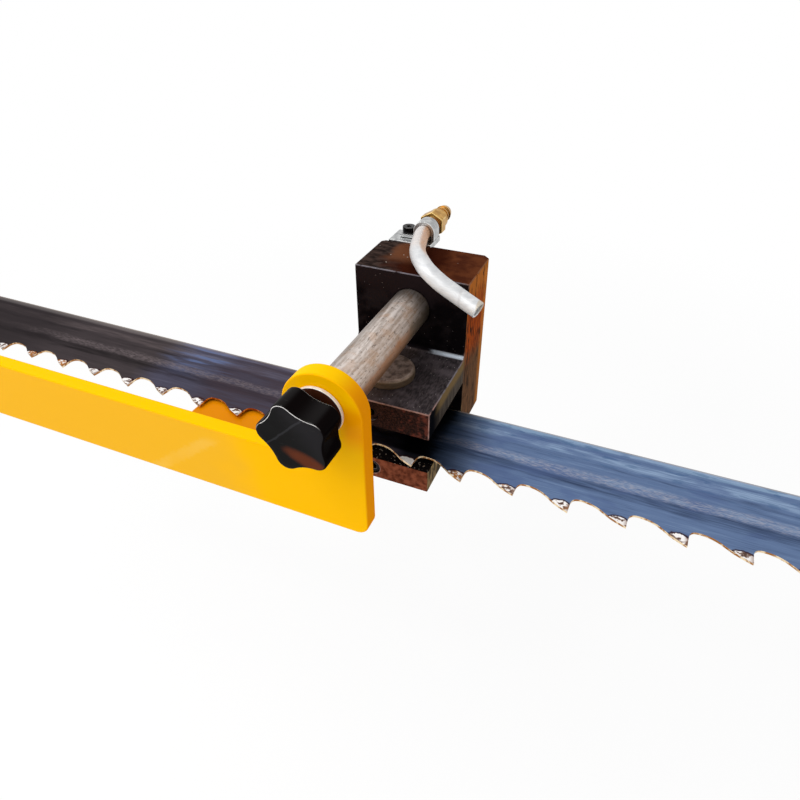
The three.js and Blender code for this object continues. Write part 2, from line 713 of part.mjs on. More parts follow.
// A strap with one flat foot on the bracket's shelf, hooked over the tube.
function clipOutline() {
  const innerRadius = TUBE.radius + FIT_GAP;
  const footBottom = shelfTop - tubeZ + FIT_GAP;
  const footTop = footBottom + CLIP.thickness;
  const footEnd = -clipOuterRadius - CLIP.footLength;
  const shape = new THREE.Shape();
  shape.moveTo(clipOuterRadius, footBottom);
  shape.lineTo(clipOuterRadius, 0);
  shape.absarc(0, 0, clipOuterRadius, 0, Math.PI, false);
  shape.lineTo(-clipOuterRadius, footTop);
  shape.lineTo(footEnd, footTop);
  shape.lineTo(footEnd, footBottom);
  shape.lineTo(-innerRadius, footBottom);
  shape.lineTo(-innerRadius, 0);
  shape.absarc(0, 0, innerRadius, Math.PI, 0, true);
  shape.lineTo(innerRadius, footBottom);
  return shape;
}

function tubeClip() {
  const front = clipY - CLIP.width / 2;
  const strap = plateAcrossY(clipOutline(), front, front + CLIP.width).translate(tubeX, 0, tubeZ);
  return shaped(strap, { cut: [clipScrewHole()] });
}

// A small cap screw along +axis: its head sits on the seat and its shank runs back from there.
function capScrew(seat, axis) {
  const { radius, headRadius, headHeight, length, socketRadius, socketDepth } = SMALL_SCREW;
  const headTop = seat + headHeight;
  const body = turned([
    [0, seat - length], [radius, seat - length], [radius, seat], [headRadius, seat],
    [headRadius, headTop], [0, headTop],
  ], axis, SMALL_ROUND_SIDES);
  const socket = rod(socketRadius, headTop - socketDepth, headTop + CUT_OVERRUN, axis, HEX_SIDES);
  return shaped(body, { cut: [socket] });
}

function bracketScrew(x) {
  return capScrew(legBack + FIT_GAP, 'y').translate(x, 0, bracketScrewZ);
}

function clipScrew() {
  return capScrew(shelfTop + FIT_GAP + CLIP.thickness + FIT_GAP, 'z').translate(clipScrewX, clipY, 0);
}

const upperScrewZ = (slotTop + upperJawTop) / 2;
const lowerScrewZ = (blockBottom + lowerJawTop) / 2;
const upperPadFace = bandTop + RUNNING_GAP;
const lowerPadFace = bandBottom - RUNNING_GAP;
const [leftBracketX, rightBracketX] = bracketScrewPlaces();
const shaftScrewY = columnFront + SHAFT.boreDepth / 2;

const group = new THREE.Group();
group.add(
  mesh('guide_block', guideBlock(), blackSteel),
  mesh('upper_guide_pin', guidePin(upperJawTop, upperPadFace, 1).translate(0, pinY, 0), pinSteel),
  mesh('upper_wear_pad', wearPad(upperPadFace, 1).translate(0, pinY, 0), hardPad),
  mesh('lower_guide_pin', guidePin(blockBottom, lowerPadFace, -1).translate(0, pinY, 0), pinSteel),
  mesh('lower_wear_pad', wearPad(lowerPadFace, -1).translate(0, pinY, 0), hardPad),
  mesh('upper_pin_set_screw', pinSetScrew().translate(0, 0, upperScrewZ), darkScrew),
  mesh('lower_pin_set_screw', pinSetScrew().translate(0, 0, lowerScrewZ), darkScrew),
  mesh('thrust_button', thrustButton().translate(0, 0, slotMiddle), hardPad),
  mesh('thrust_screw', thrustScrew().translate(0, 0, slotMiddle), darkScrew),
  mesh('guard_shaft', guardShaft(), wornSteel),
  mesh('shaft_set_screw', shaftSetScrew().translate(0, shaftScrewY, shaftZ), darkScrew),
  mesh('blade_guard', bladeGuard(), yellowPaint),
  mesh('guard_tab', guardTab(), yellowPaint),
  mesh('knob_washer', knobWasher(), zincSteel),
  mesh('star_knob', starKnob(), blackPlastic),
  mesh('knob_stud', knobStud(), zincSteel),
  mesh('saw_band', sawBand(), bandSteel),
  mesh('drip_tube', dripTube(), satinTube),
  mesh('tube_nut', tubeNut(), brass),
  mesh('hose_barb', hoseBarb(), brass),
  mesh('tube_bracket', tubeBracket(), zincSteel),
  mesh('tube_clip', tubeClip(), zincSteel),
  mesh('bracket_screw_left', bracketScrew(leftBracketX), darkScrew),
  mesh('bracket_screw_right', bracketScrew(rightBracketX), darkScrew),
  mesh('clip_screw', clipScrew(), darkScrew),
);
export default group;
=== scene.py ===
"""The dressed model of a log band sawmill's blade guide.

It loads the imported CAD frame, replaces each piece of it by a finer one, and sets a plain white
studio with the camera where the photograph's stood. Sizes are in millimetres in the frame's own
axes: X along the band in its cutting direction, Y towards the machine and Z up.
"""

from __future__ import annotations

import logging
import math
from abc import ABC, abstractmethod
from dataclasses import dataclass
from enum import Enum
from functools import cached_property
from typing import Any, Callable, Mapping, Optional, Sequence, Union

import bmesh
import bpy
from mathutils import Matrix, Vector

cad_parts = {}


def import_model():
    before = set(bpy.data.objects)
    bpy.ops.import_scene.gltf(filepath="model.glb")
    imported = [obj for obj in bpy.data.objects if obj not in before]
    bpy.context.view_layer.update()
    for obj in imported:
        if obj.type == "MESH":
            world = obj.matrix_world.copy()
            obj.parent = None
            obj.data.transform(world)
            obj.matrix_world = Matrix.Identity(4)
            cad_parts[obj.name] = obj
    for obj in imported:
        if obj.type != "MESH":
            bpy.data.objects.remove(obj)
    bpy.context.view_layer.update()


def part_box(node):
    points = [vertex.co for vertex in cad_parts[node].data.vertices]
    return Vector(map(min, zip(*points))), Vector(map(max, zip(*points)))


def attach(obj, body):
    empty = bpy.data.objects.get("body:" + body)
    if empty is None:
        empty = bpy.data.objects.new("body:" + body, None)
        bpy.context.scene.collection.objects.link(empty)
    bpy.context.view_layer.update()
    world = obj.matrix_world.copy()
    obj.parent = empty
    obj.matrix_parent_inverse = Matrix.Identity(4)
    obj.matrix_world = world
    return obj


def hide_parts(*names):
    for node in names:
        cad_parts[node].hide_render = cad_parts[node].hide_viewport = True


LOG = logging.getLogger("blade_guide")

MM = 0.001
EDGE_MARK = "edge"
EDGE_TINT = (0.45, 0.45, 0.45, 1.0)
WHITE = (1.0, 1.0, 1.0, 1.0)
WELD_DISTANCE = 2e-5
SHARP_ANGLE = math.radians(28)
FLAT_ANGLE = math.radians(0.5)

# The band's teeth, which both its shape and its finish follow
FIRST_TIP = -328.0
TOOTH_PITCH = 25.0
TIP_LINE = -87.0
GULLET_DEPTH = 9.0

Point = tuple[float, float, float]
Colour = tuple[float, float, float, float]
Flat = tuple[float, float]
Output = Union[int, str]
Input = Union["Value", float, str, Point, Colour]
Row = list[bmesh.types.BMVert]


class Body(Enum):
    """The rigid bodies of the frame that pieces ride on."""

    BLOCK = "block"
    UPPER_PIN = "upper_pin"
    LOWER_PIN = "lower_pin"
    THRUST = "thrust"
    GUARD = "guard"
    WASHER = "washer"
    KNOB = "knob"
    BAND = "band"
    TUBE = "tube"


def colour(code: str) -> Colour:
    """Turns a hex colour into the linear colour that Blender's sockets hold.

    Args:
        code: Six hex digits after a hash sign.

    Returns:
        Linear red, green and blue, and an alpha of 1.
    """
    parts = [int(code[i : i + 2], 16) / 255 for i in (1, 3, 5)]
    linear = [c / 12.92 if c <= 0.04045 else ((c + 0.055) / 1.055) ** 2.4 for c in parts]
    return (linear[0], linear[1], linear[2], 1.0)


def operator(operation: str, reflected: bool = False) -> Callable[[Value, Input], Value]:
    """Makes a method of Value that adds a Math node.

    Args:
        operation: The node's operation.
        reflected: Whether the value is the node's second number.

    Returns:
        The method.
    """

    def method(self: Value, other: Input) -> Value:
        """Adds the Math node.

        Args:
            other: The other number.

        Returns:
            The node's result.
        """
        first, second = (other, self) if reflected else (self, other)
        return self.graph.add("ShaderNodeMath", {"operation": operation}, {0: first, 1: second})

    return method


class Value:
    """One output socket of a node, with the operators that shader maths needs."""

    def __init__(self, graph: Graph, node: bpy.types.Node, output: Output = 0) -> None:
        """Wraps a socket of a graph.

        Args:
            graph: The graph that the node belongs to.
            node: The node.
            output: The number or name of its output.
        """
        self.graph = graph
        self.node = node
        self.output = output

    @property
    def socket(self) -> bpy.types.NodeSocket:
        """The socket itself."""
        return self.node.outputs[self.output]

    def also(self, output: Output) -> Value:
        """Gives another output of the same node.

        Args:
            output: The number or name of that output.

        Returns:
            The output.
        """
        return Value(self.graph, self.node, output)

    __add__ = __radd__ = operator("ADD")
    __mul__ = __rmul__ = operator("MULTIPLY")
    __sub__ = operator("SUBTRACT")
    __rsub__ = operator("SUBTRACT", reflected=True)
    __truediv__ = operator("DIVIDE")
    __rtruediv__ = operator("DIVIDE", reflected=True)
    __mod__ = operator("FLOORED_MODULO")
    __pow__ = operator("POWER")
    larger = operator("MAXIMUM")

    def between(self, low: float, high: float) -> Value:
        """Rises smoothly from 0 at one value to 1 at another.

        Args:
            low: Where the result is 0.
            high: Where the result is 1. It may be the smaller one.

        Returns:
            The smooth step.
        """
        if low > high:
            return 1 - self.between(high, low)
        limits = {"Value": self, "From Min": low, "From Max": high}
        return self.graph.add("ShaderNodeMapRange", {"interpolation_type": "SMOOTHSTEP"}, limits)

    def within(self, start: float, full: float, fading: float, gone: float) -> Value:
        """Rises smoothly to 1 and falls back to 0 further on.

        Args:
            start: Where the rise starts.
            full: Where it reaches 1.
            fading: Where the fall starts.
            gone: Where it is 0 again.

        Returns:
            The smooth plateau.
        """
        return self.between(start, full) * self.between(gone, fading)

    def peak(self, middle: float, reach: float) -> Value:
        """Rises to 1 at one value.

        Args:
            middle: Where the result is 1.
            reach: How far from there it is 0.

        Returns:
            The smooth peak.
        """
        off = (self - middle) / reach
        return (1 - off * off).between(0, 1)


class Graph:
    """The node tree of one material or world."""

    def __init__(self, owner: Union[bpy.types.Material, bpy.types.World]) -> None:
        """Empties the node tree of a material or world.

        Args:
            owner: The material or world.
        """
        owner.use_nodes = True
        self.tree = owner.node_tree
        self.tree.nodes.clear()

    def add(
        self,
        kind: str,
        settings: Optional[Mapping[str, Any]] = None,
        inputs: Optional[Mapping[Output, Input]] = None,
        output: Output = 0,
    ) -> Value:
        """Adds a node.

        Args:
            kind: The node's type.
            settings: The node's own properties, set first.
            inputs: Values, hex colours or links for its sockets, by number or name.
            output: The number or name of the output wanted.

        Returns:
            That output.
        """
        node = self.tree.nodes.new(kind)
        for key, setting in (settings or {}).items():
            setattr(node, key, setting)
        for key, value in (inputs or {}).items():
            if isinstance(value, Value):
                self.tree.links.new(value.socket, node.inputs[key])
            else:
                node.inputs[key].default_value = colour(value) if isinstance(value, str) else value
        return Value(self, node, output)

    def parts(self, vector: Value) -> tuple[Value, Value, Value]:
        """Splits a vector.

        Args:
            vector: The vector.

        Returns:
            Its X, Y and Z.
        """
        first = self.add("ShaderNodeSeparateXYZ", None, {0: vector})
        return first, first.also(1), first.also(2)

    @cached_property
    def point(self) -> Value:
        """The surface point in millimetres, as a vector."""
        metres = self.add("ShaderNodeTexCoord", output="Object")
        return self.add("ShaderNodeVectorMath", {"operation": "SCALE"}, {0: metres, "Scale": 1 / MM})

    @cached_property
    def place(self) -> tuple[Value, Value, Value]:
        """X, Y and Z of the surface point, in millimetres."""
        return self.parts(self.point)

    @cached_property
    def facing(self) -> tuple[Value, Value, Value]:
        """X, Y and Z of the piece's own surface normal."""
        return self.parts(self.add("ShaderNodeTexCoord", output="Normal"))

    @cached_property
    def edges(self) -> Value:
        """1 on softened edges and 0 elsewhere."""
        return self.add("ShaderNodeAttribute", {"attribute_name": EDGE_MARK}, output="Fac")

    def _cells(self, scales: Point, shift: Point) -> Value:
        """Scales the surface point for a texture.

        Args:
            scales: Cells in a millimetre along X, Y and Z.
            shift: Where the texture starts, in its own cells.

        Returns:
            The texture's vector.
        """
        settings = {"operation": "MULTIPLY_ADD"}
        return self.add("ShaderNodeVectorMath", settings, {0: self.point, 1: scales, 2: shift})

    def noise(
        self, size: float, stretch: Point = (1, 1, 1), detail: float = 3, shift: Point = (0, 0, 0)
    ) -> Value:
        """Adds a noise.

        Args:
            size: How large its features are, in millimetres.
            stretch: How many times longer they are along X, Y and Z.
            detail: How many finer layers it has.
            shift: Where it starts, in its own features.

        Returns:
            The noise, from 0 to 1.
        """
        cells = self._cells(tuple(1 / (size * s) for s in stretch), shift)
        return self.add("ShaderNodeTexNoise", None, {"Vector": cells, "Scale": 1.0, "Detail": detail})

    def specks(self, spacing: float, radius: float, shift: Point = (0, 0, 0)) -> Value:
        """Adds scattered specks.

        Args:
            spacing: The mean distance between cells, in millimetres.
            radius: The largest speck's radius as a share of the spacing.
            shift: Where the pattern starts, in its own cells.

        Returns:
            1 on a speck and 0 elsewhere.
        """
        cells = self._cells((1 / spacing,) * 3, shift)
        distance = self.add("ShaderNodeTexVoronoi", None, {"Vector": cells, "Scale": 1.0})
        return distance.between(radius, radius * 0.6)

    def coat(self, base: Input, *layers: tuple[Input, Input]) -> Value:
        """Lays colours over a first one.

        Args:
            base: The first colour.
            layers: For each further one, its share from 0 to 1, and the colour.

        Returns:
            The colour that shows.
        """
        for share, over in layers:
            inputs = {0: share, 6: base, 7: over}
            base = self.add("ShaderNodeMix", {"data_type": "RGBA"}, inputs, output=2)
        return base

    def bump(self, height: Value, depth: float, strength: float) -> Value:
        """Turns a height into a bumped normal.

        Args:
            height: The height, from 0 to 1.
            depth: How deep that is, in millimetres.
            strength: How much of it shows.

        Returns:
            The normal.
        """
        inputs = {"Strength": strength, "Distance": depth * MM, "Height": height}
        return self.add("ShaderNodeBump", None, inputs)

    def finish(self, inputs: Mapping[str, Input]) -> None:
        """Ends the tree with a Principled shader.

        Args:
            inputs: Values or links of the shader's sockets.
        """
        shader = self.add("ShaderNodeBsdfPrincipled", None, inputs)
        self.add("ShaderNodeOutputMaterial", None, {"Surface": shader})


@dataclass(frozen=True)
class Finish(ABC):
    """A surface finish, which makes its material once.

    Attributes:
        name: The material's name.
        slot: The record's material slot that it stands for; it is not used.
    """

    name: str
    slot: str

    @abstractmethod
    def paint(self, graph: Graph) -> None:
        """Builds the finish's nodes.

        Args:
            graph: The empty graph of its material.
        """

    def material(self) -> bpy.types.Material:
        """Gives the finish's material, made at the first call.

        Returns:
            The material.
        """
        material = bpy.data.materials.get(self.name)
        if material is None:
            material = bpy.data.materials.new(self.name)
            self.paint(Graph(material))
        return material


@dataclass(frozen=True)
class BlackenedBlock(Finish):
    """Oiled black steel gone brown on its top and right side, with worn edges, painted edge highlights, a
    painted glint and a painted tube shadow.
    """

    name: str = "blackened_block"
    slot: str = "block_black"

    @staticmethod
    def _tops(graph: Graph) -> Value:
        """Colours the faces that look up.

        Args:
            graph: The material's graph.

        Returns:
            The colour.
        """
        x, y, z = graph.place
        cloud = graph.noise(8, detail=4)
        brushed = graph.noise(0.9, (7, 1, 1), 4, (2, 9, 4))
        mottle = graph.noise(3.2, (1.6, 1, 1), 5, (6, 3, 1))
        left = graph.coat(
            "#221b19",
            (mottle.between(0.35, 0.65), "#443631"),
            (brushed.between(0.5, 0.75) * 0.3, "#5c4c45"),
        )
        right = graph.coat(
            "#472317",
            (cloud.between(0.35, 0.65), "#613520"),
            (brushed.between(0.45, 0.75) * 0.15, "#7a492c"),
            # painted shadow: the block top is darker just right of the tube
            ((x + cloud * 10).between(21, 13) * 0.85, "#30130c"),
        )
        head = graph.coat(
            left,
            ((x + cloud * 30).between(-6, 10), right),
            ((x + cloud * 12).within(-16, -9, 0, 6) * y.between(-28, -16) * 0.7, "#7a4c33"),
            (graph.specks(5, 0.07, (2, 5, 1)), "#cfc2b6"),
        )
        crossed = graph.noise(0.9, (1, 3.5, 1), 5, (7, 1, 3))
        jaw = graph.coat(
            "#2f2a2c",
            (crossed.between(0.3, 0.75), "#574f51"),
            (cloud.between(0.45, 0.7) * 0.6, "#6e6468"),
            ((x + cloud * 8).between(16, 4) * 0.5, "#4a3a31"),
            (graph.specks(2.2, 0.1, (1, 3, 8)), "#cbc4be"),
        )
        sawdust = graph.specks(1.5, 0.3, (4, 4, 2)) * graph.noise(5).between(0.42, 0.6)
        low = graph.coat("#151213", (sawdust, "#a59a8e"))
        return graph.coat(jaw, (z.between(10, 30), head), (z.between(-20, -28), low))

    @staticmethod
    def _sides(graph: Graph) -> Value:
        """Colours the faces that look left or right.

        Args:
            graph: The material's graph.

        Returns:
            The colour.
        """
        _, y, z = graph.place
        streak = graph.noise(1.5, (1, 1, 7), 5)
        drift = graph.noise(9, shift=(6, 6, 1))
        mark = graph.noise(2.4, (1, 0.7, 3), 4, (3, 8, 2))
        rust = graph.coat(
            "#762c08",
            (streak.between(0.35, 0.65), "#b4520f"),
            ((z + drift * 12).between(32, 46) * 0.6, "#c27a32"),
        )
        umber = graph.coat("#46301f", (streak.between(0.3, 0.7), "#795336"))
        column = graph.coat(
            rust,
            ((z + drift * 16).between(18, 2), umber),
            (mark.between(0.56, 0.62) * 0.85, "#1b0d06"),
            ((y + drift * 5).between(-9, -2) * 0.6, "#d08030"),
            (y.between(-2.2, -1.2) * 0.9, "#ecb877"),
        )
        speckled = graph.coat("#4a3f2e", (mark.between(0.4, 0.6), "#957d58"))
        jaw = graph.coat(
            "#3b332c",
            (streak.between(0.3, 0.7), "#5f554b"),
            ((z + drift * 3).between(-3, 1), "#7a6340"),
            ((y + drift * 6).between(-66, -76), "#0f1013"),
            (z.between(-24, -27), speckled),
        )
        return graph.coat(column, (y.between(-33, -37), jaw))

    @staticmethod
    def _fronts(graph: Graph) -> Value:
        """Colours the faces that look to the front.

        Args:
            graph: The material's graph.

        Returns:
            The colour.
        """
        x, y, z = graph.place
        rusty = graph.noise(2.6, detail=5, shift=(9, 2, 5))
        fine = graph.noise(0.8, detail=4, shift=(1, 1, 4))
        lower = graph.coat("#50281b", (rusty.between(0.3, 0.7), "#854b36"))
        jaws = graph.coat(
            "#211716",
            (fine.between(0.4, 0.7), "#3f2a26"),
            ((rusty + x * 0.009).between(0.66, 0.9) * 0.7, "#6b3a30"),
            (z.between(-20, -30), lower),
        )
        smear = graph.noise(8, detail=5, shift=(5, 5, 5))
        column = graph.coat(
            "#0f0c0e",
            (smear.between(0.4, 0.65), "#211c1e"),
            ((z + smear * 10).between(33, 43), "#221a1b"),
            (graph.specks(2.6, 0.08, (3, 1, 2)) * 0.6, "#9d9693"),
        )
        return graph.coat(jaws, (y.between(-80, -70), column))

    @staticmethod
    def _wear_and_highlight(graph: Graph) -> Value:
        """Finds the edges that are painted bright, partly as wear and partly as painted highlights.

        Args:
            graph: The material's graph.

        Returns:
            1 where they are and 0 elsewhere.
        """
        x, y, z = graph.place
        _, along, _ = graph.facing
        broken = graph.noise(5, detail=4, shift=(1, 6, 3))
        jaw_front = y.between(-80, -83)
        jaw_top = z.within(1.5, 2.5, 6, 8)
        jaw_corner = jaw_front * x.between(26, 28) * z.between(-12, -10)
        screw_rim = jaw_front * z.within(-44, -43, -34, -33) * x.between(8, 7)
        rims = z.between(42, 43.5).larger(jaw_top).larger(jaw_corner).larger(screw_rim)
        return graph.edges * rims * broken.between(0.3, 0.52) * along.between(0.3, 0.0)

    def paint(self, graph: Graph) -> None:
        """Builds the finish's nodes.

        Args:
            graph: The empty graph of its material.
        """
        x, y, _ = graph.place
        across, along, up = graph.facing
        grain = graph.noise(1.3, detail=4, shift=(4, 1, 7))
        outside = (across * across).between(0.3, 0.6) * (x * x).between(600, 720)
        fillet = (up * along).between(-0.33, -0.46) * y.between(-42, -38)
        worn = self._wear_and_highlight(graph)
        rub_and_highlight = graph.coat(
            "#b08a80", (y.between(-80, -70), "#827d84"), ((x + y * 0.5).between(8, 14), "#8a6046")
        )
        shade = graph.coat(
            "#151112",
            (up.between(0.5, 0.8), self._tops(graph)),
            (outside, self._sides(graph)),
            (outside * across.between(0, -0.5) * 0.6, "#241b18"),
            (along.between(-0.5, -0.8), self._fronts(graph)),
            # painted highlight: a blue-white glint in the fillet where the column's front meets the jaw top
            (fillet * (x + grain * 6).between(13, 19) * 0.8, "#b5bfca"),
            # worn edges with painted highlights: lighter broken lines on edges that face the front
            (worn * 0.75, rub_and_highlight),
        )
        graph.finish(
            {
                "Base Color": shade,
                "Metallic": 0.5,
                "Roughness": 0.36 + 0.2 * grain + 0.1 * worn,
                "Specular IOR Level": 0.0,
                "Specular Tint": EDGE_TINT,
                "Normal": graph.bump(grain, 0.25, 0.35),
            }
        )


@dataclass(frozen=True)
class WornSteel(Finish):
    """Bare turned steel with scratches along one axis and brown stains, and painted shade and warm
    reflection on its sides.

    Attributes:
        light: The colour of its polished parts.
        dark: The colour of its scratches.
        stain_and_reflection: The colour of its stains, also laid on as a painted warm reflection on its
            lower right side.
        stretch: How long its scratches are along X, Y and Z.
        darkened_end_y: Y of the end that is coloured darker, or nothing.
        shade_below_z: Z below which it is painted black as shade, with its sides painted darker, or nothing.
        rubbed: How far its edges are rubbed bright.
        metal: How metallic it is.
    """

    name: str = "worn_steel"
    slot: str = "shaft_steel"
    light: str = "#dbd1cb"
    dark: str = "#a89a90"
    stain_and_reflection: str = "#b58658"
    stretch: Point = (1.0, 14.0, 1.0)
    darkened_end_y: Optional[float] = -37.0
    shade_below_z: Optional[float] = None
    rubbed: float = 0.5
    metal: float = 0.8

    def paint(self, graph: Graph) -> None:
        """Builds the finish's nodes.

        Args:
            graph: The empty graph of its material.
        """
        _, y, z = graph.place
        across, _, up = graph.facing
        scratch = graph.noise(0.5, self.stretch, 2)
        patch = graph.noise(6, detail=5, shift=(3, 3, 8))
        nick = graph.noise(0.9, (1, 2.5, 1), 4, (5, 0, 2)).between(0.6, 0.68)
        mottle = graph.noise(1.2, self.stretch, 5, (3, 5, 1))
        level = mottle * 0.75 + graph.noise(1.1, (1, 2, 1), 5, (9, 5, 6)) * 0.25
        turned = across * 0.8 - up * 0.6
        worn = graph.edges * patch.between(0.4, 0.6)
        rust, end_darkening = [], []
        if self.darkened_end_y is not None:
            # rust on the lower right side, which there also stands for painted brown shade
            rusty = graph.coat("#a3652a", ((y + patch * 16).between(-58, -44), "#6d5d47"))
            rust = [((turned + patch * 0.4 + level * 0.8).between(1.0, 1.3) * 0.8, rusty)]
            # darker towards the end that goes into the block
            dark_end = (y + patch * 8).between(self.darkened_end_y - 8, self.darkened_end_y + 4)
            end_darkening = [(dark_end * 0.5, "#4f443c")]
        shade = graph.coat(
            self.dark,
            (level.between(0.34, 0.62), self.light),
            (scratch.between(0.55, 0.7) * 0.4, self.dark),
            (patch.between(0.5, 0.66) * 0.3, self.stain_and_reflection),
            # painted reflection: warmer on the lower right side, where the brown block is reflected
            (turned.between(-0.5, 0.1) * 0.2, self.stain_and_reflection),
            # painted shade: darker along the upper left side
            (turned.between(-0.7, -0.97) * 0.6, "#6b5d52"),
            *rust,
            # painted shade: darker on the lower right side
            (turned.between(0.1, 0.95) * 0.35, "#54402f"),
            (nick * 0.6, "#4d4038"),
            *end_darkening,
            (worn * self.rubbed, "#cabfb5"),
        )
        # painted shade: faces that don't look up go darker brown, and below the given height the steel goes
        # black
        if self.shade_below_z is not None:
            shaded_below = z.between(self.shade_below_z, self.shade_below_z - 2)
            shade = graph.coat(shade, (up.between(0.9, 0.5) * 0.75, "#5a4932"), (shaded_below, "#151112"))
        graph.finish(
            {
                "Base Color": shade,
                "Metallic": self.metal,
                "Roughness": 0.36 + 0.2 * patch - 0.1 * worn,
                "Specular IOR Level": 0.2,
                "Normal": graph.bump(scratch + nick * -0.6, 0.12, 0.5),
            }
        )


@dataclass(frozen=True)
class GlossPaint(Finish):
    """Thick yellow gloss paint, painted deeper as shade on the faces turned to the right and lighter on
    those turned up.

    Attributes:
        body: Its colour.
        pale_sheen: The colour of a painted sheen, in paler clouds towards the left.
        top: The colour of the faces turned up, painted lighter as they catch more light.
        side: The colour of the faces turned to the right, painted deeper as shade.
    """

    name: str = "yellow_paint"
    slot: str = "guard_yellow"
    body: str = "#ffbd00"
    pale_sheen: str = "#f3b524"
    top: str = "#fcc200"
    side: str = "#f59808"

    def paint(self, graph: Graph) -> None:
        """Builds the finish's nodes.

        Args:
            graph: The empty graph of its material.
        """
        x, y, z = graph.place
        across, _, up = graph.facing
        cloud = graph.noise(30, detail=2)
        peel = graph.noise(2, detail=2)
        dust = graph.noise(0.7, shift=(1, 2, 3)).between(0.74, 0.8)
        streak = (x - z * 1.27 + 48 + peel * 6).peak(0, 6.5)
        glare = streak * y.between(-123, -126) * z.between(-5, -11)
        knob_shadow = x.between(7, 12) * z.within(8, 20, 28, 36)
        turned = across.between(0.3, 0.95)
        shade = graph.coat(
            self.body,
            # painted sheen: paler clouds towards the left
            ((cloud * 60 - x).between(55, 100), self.pale_sheen),
            # painted light: the faces turned up are lighter
            (up.between(0.5, 0.9), self.top),
            # painted reflection: a pale glare streak across the guard's front
            (glare * cloud.between(0.2, 0.7) * 0.35, "#f6c965"),
            # painted shadow of the knob and washer: orange on the ear to the right of the washer
            (knob_shadow * 0.75, "#ff9a00"),
            # painted shade: deeper orange on the faces turned to the right
            (turned, self.side),
            (graph.edges * 0.35, "#f3a400"),
            (dust * 0.25, "#b07a10"),
        )
        graph.finish(
            {
                "Base Color": shade,
                "Roughness": 0.28 + 0.08 * peel,
                "Specular IOR Level": 0.0,
                "Coat Weight": 0.08 - 0.07 * turned,
                "Coat Roughness": 0.12,
                "Normal": graph.bump(peel, 0.05, 0.25),
            }
        )


@dataclass(frozen=True)
class MouldedPlastic(Finish):
    """Glossy black moulded plastic, with a painted highlight along its upper rim and painted reflections on
    its face.

    Attributes:
        rim_end: X where the painted rim highlight ends.
        brown_reflection: X and Z of the middle of the painted brown reflection on its face.
        brown_reflection_reach: How far that reflection reaches along X and Z.
    """

    name: str = "knob_plastic"
    slot: str = "knob_black"
    rim_end: float = 10.5
    brown_reflection: Flat = (4.6, 20.6)
    brown_reflection_reach: Flat = (10.5, 3.6)

    def paint(self, graph: Graph) -> None:
        """Builds the finish's nodes.

        Args:
            graph: The empty graph of its material.
        """
        x, _, z = graph.place
        across, along, up = graph.facing
        flow = graph.noise(5, detail=2)
        scuff = graph.noise(0.9, (6, 1, 1), 4, (2, 4, 4)).between(0.66, 0.76)
        face = along.between(-0.9, -0.98)
        # painted reflection: a faint light line across the face, and a lighter painted sheen on part of it
        scratch = (z - x * 0.94 - 35.7 + flow * 2).peak(0, 0.8)
        lit = graph.coat(
            "#090808", ((x + z * 0.8 + flow * 8).between(22, 40), "#19171a"), (scratch * 0.18, "#56565c")
        )
        # painted reflection: a brown patch low on the face
        side = (x - self.brown_reflection[0]) / self.brown_reflection_reach[0]
        rise = (z + x * 0.28 - self.brown_reflection[1]) / self.brown_reflection_reach[1]
        brown_reflection = (side * side + rise * rise + flow * 0.6).between(1.7, 0.4)
        # painted highlight: a light line along the upper part of the rim, fainter on the back rim
        rubbed = graph.edges * up.between(0.0, 0.3) * (x + flow * 3).between(self.rim_end + 3, self.rim_end)
        shade = graph.coat(
            "#0b0707",
            (face, lit),
            (face * brown_reflection * 0.9, "#5e2a12"),
            (scuff * 0.3, "#33312f"),
            (rubbed * flow.between(0.25, 0.5), "#d9d6d3"),
        )
        graph.finish(
            {
                "Base Color": shade,
                "Roughness": 0.3,
                "Specular IOR Level": 0.0,
                "Coat Weight": 0.16 * across.between(0.5, 0.1) + 0.02,
                "Coat Roughness": 0.1,
                "Normal": graph.bump(flow, 0.1, 0.4),
            }
        )


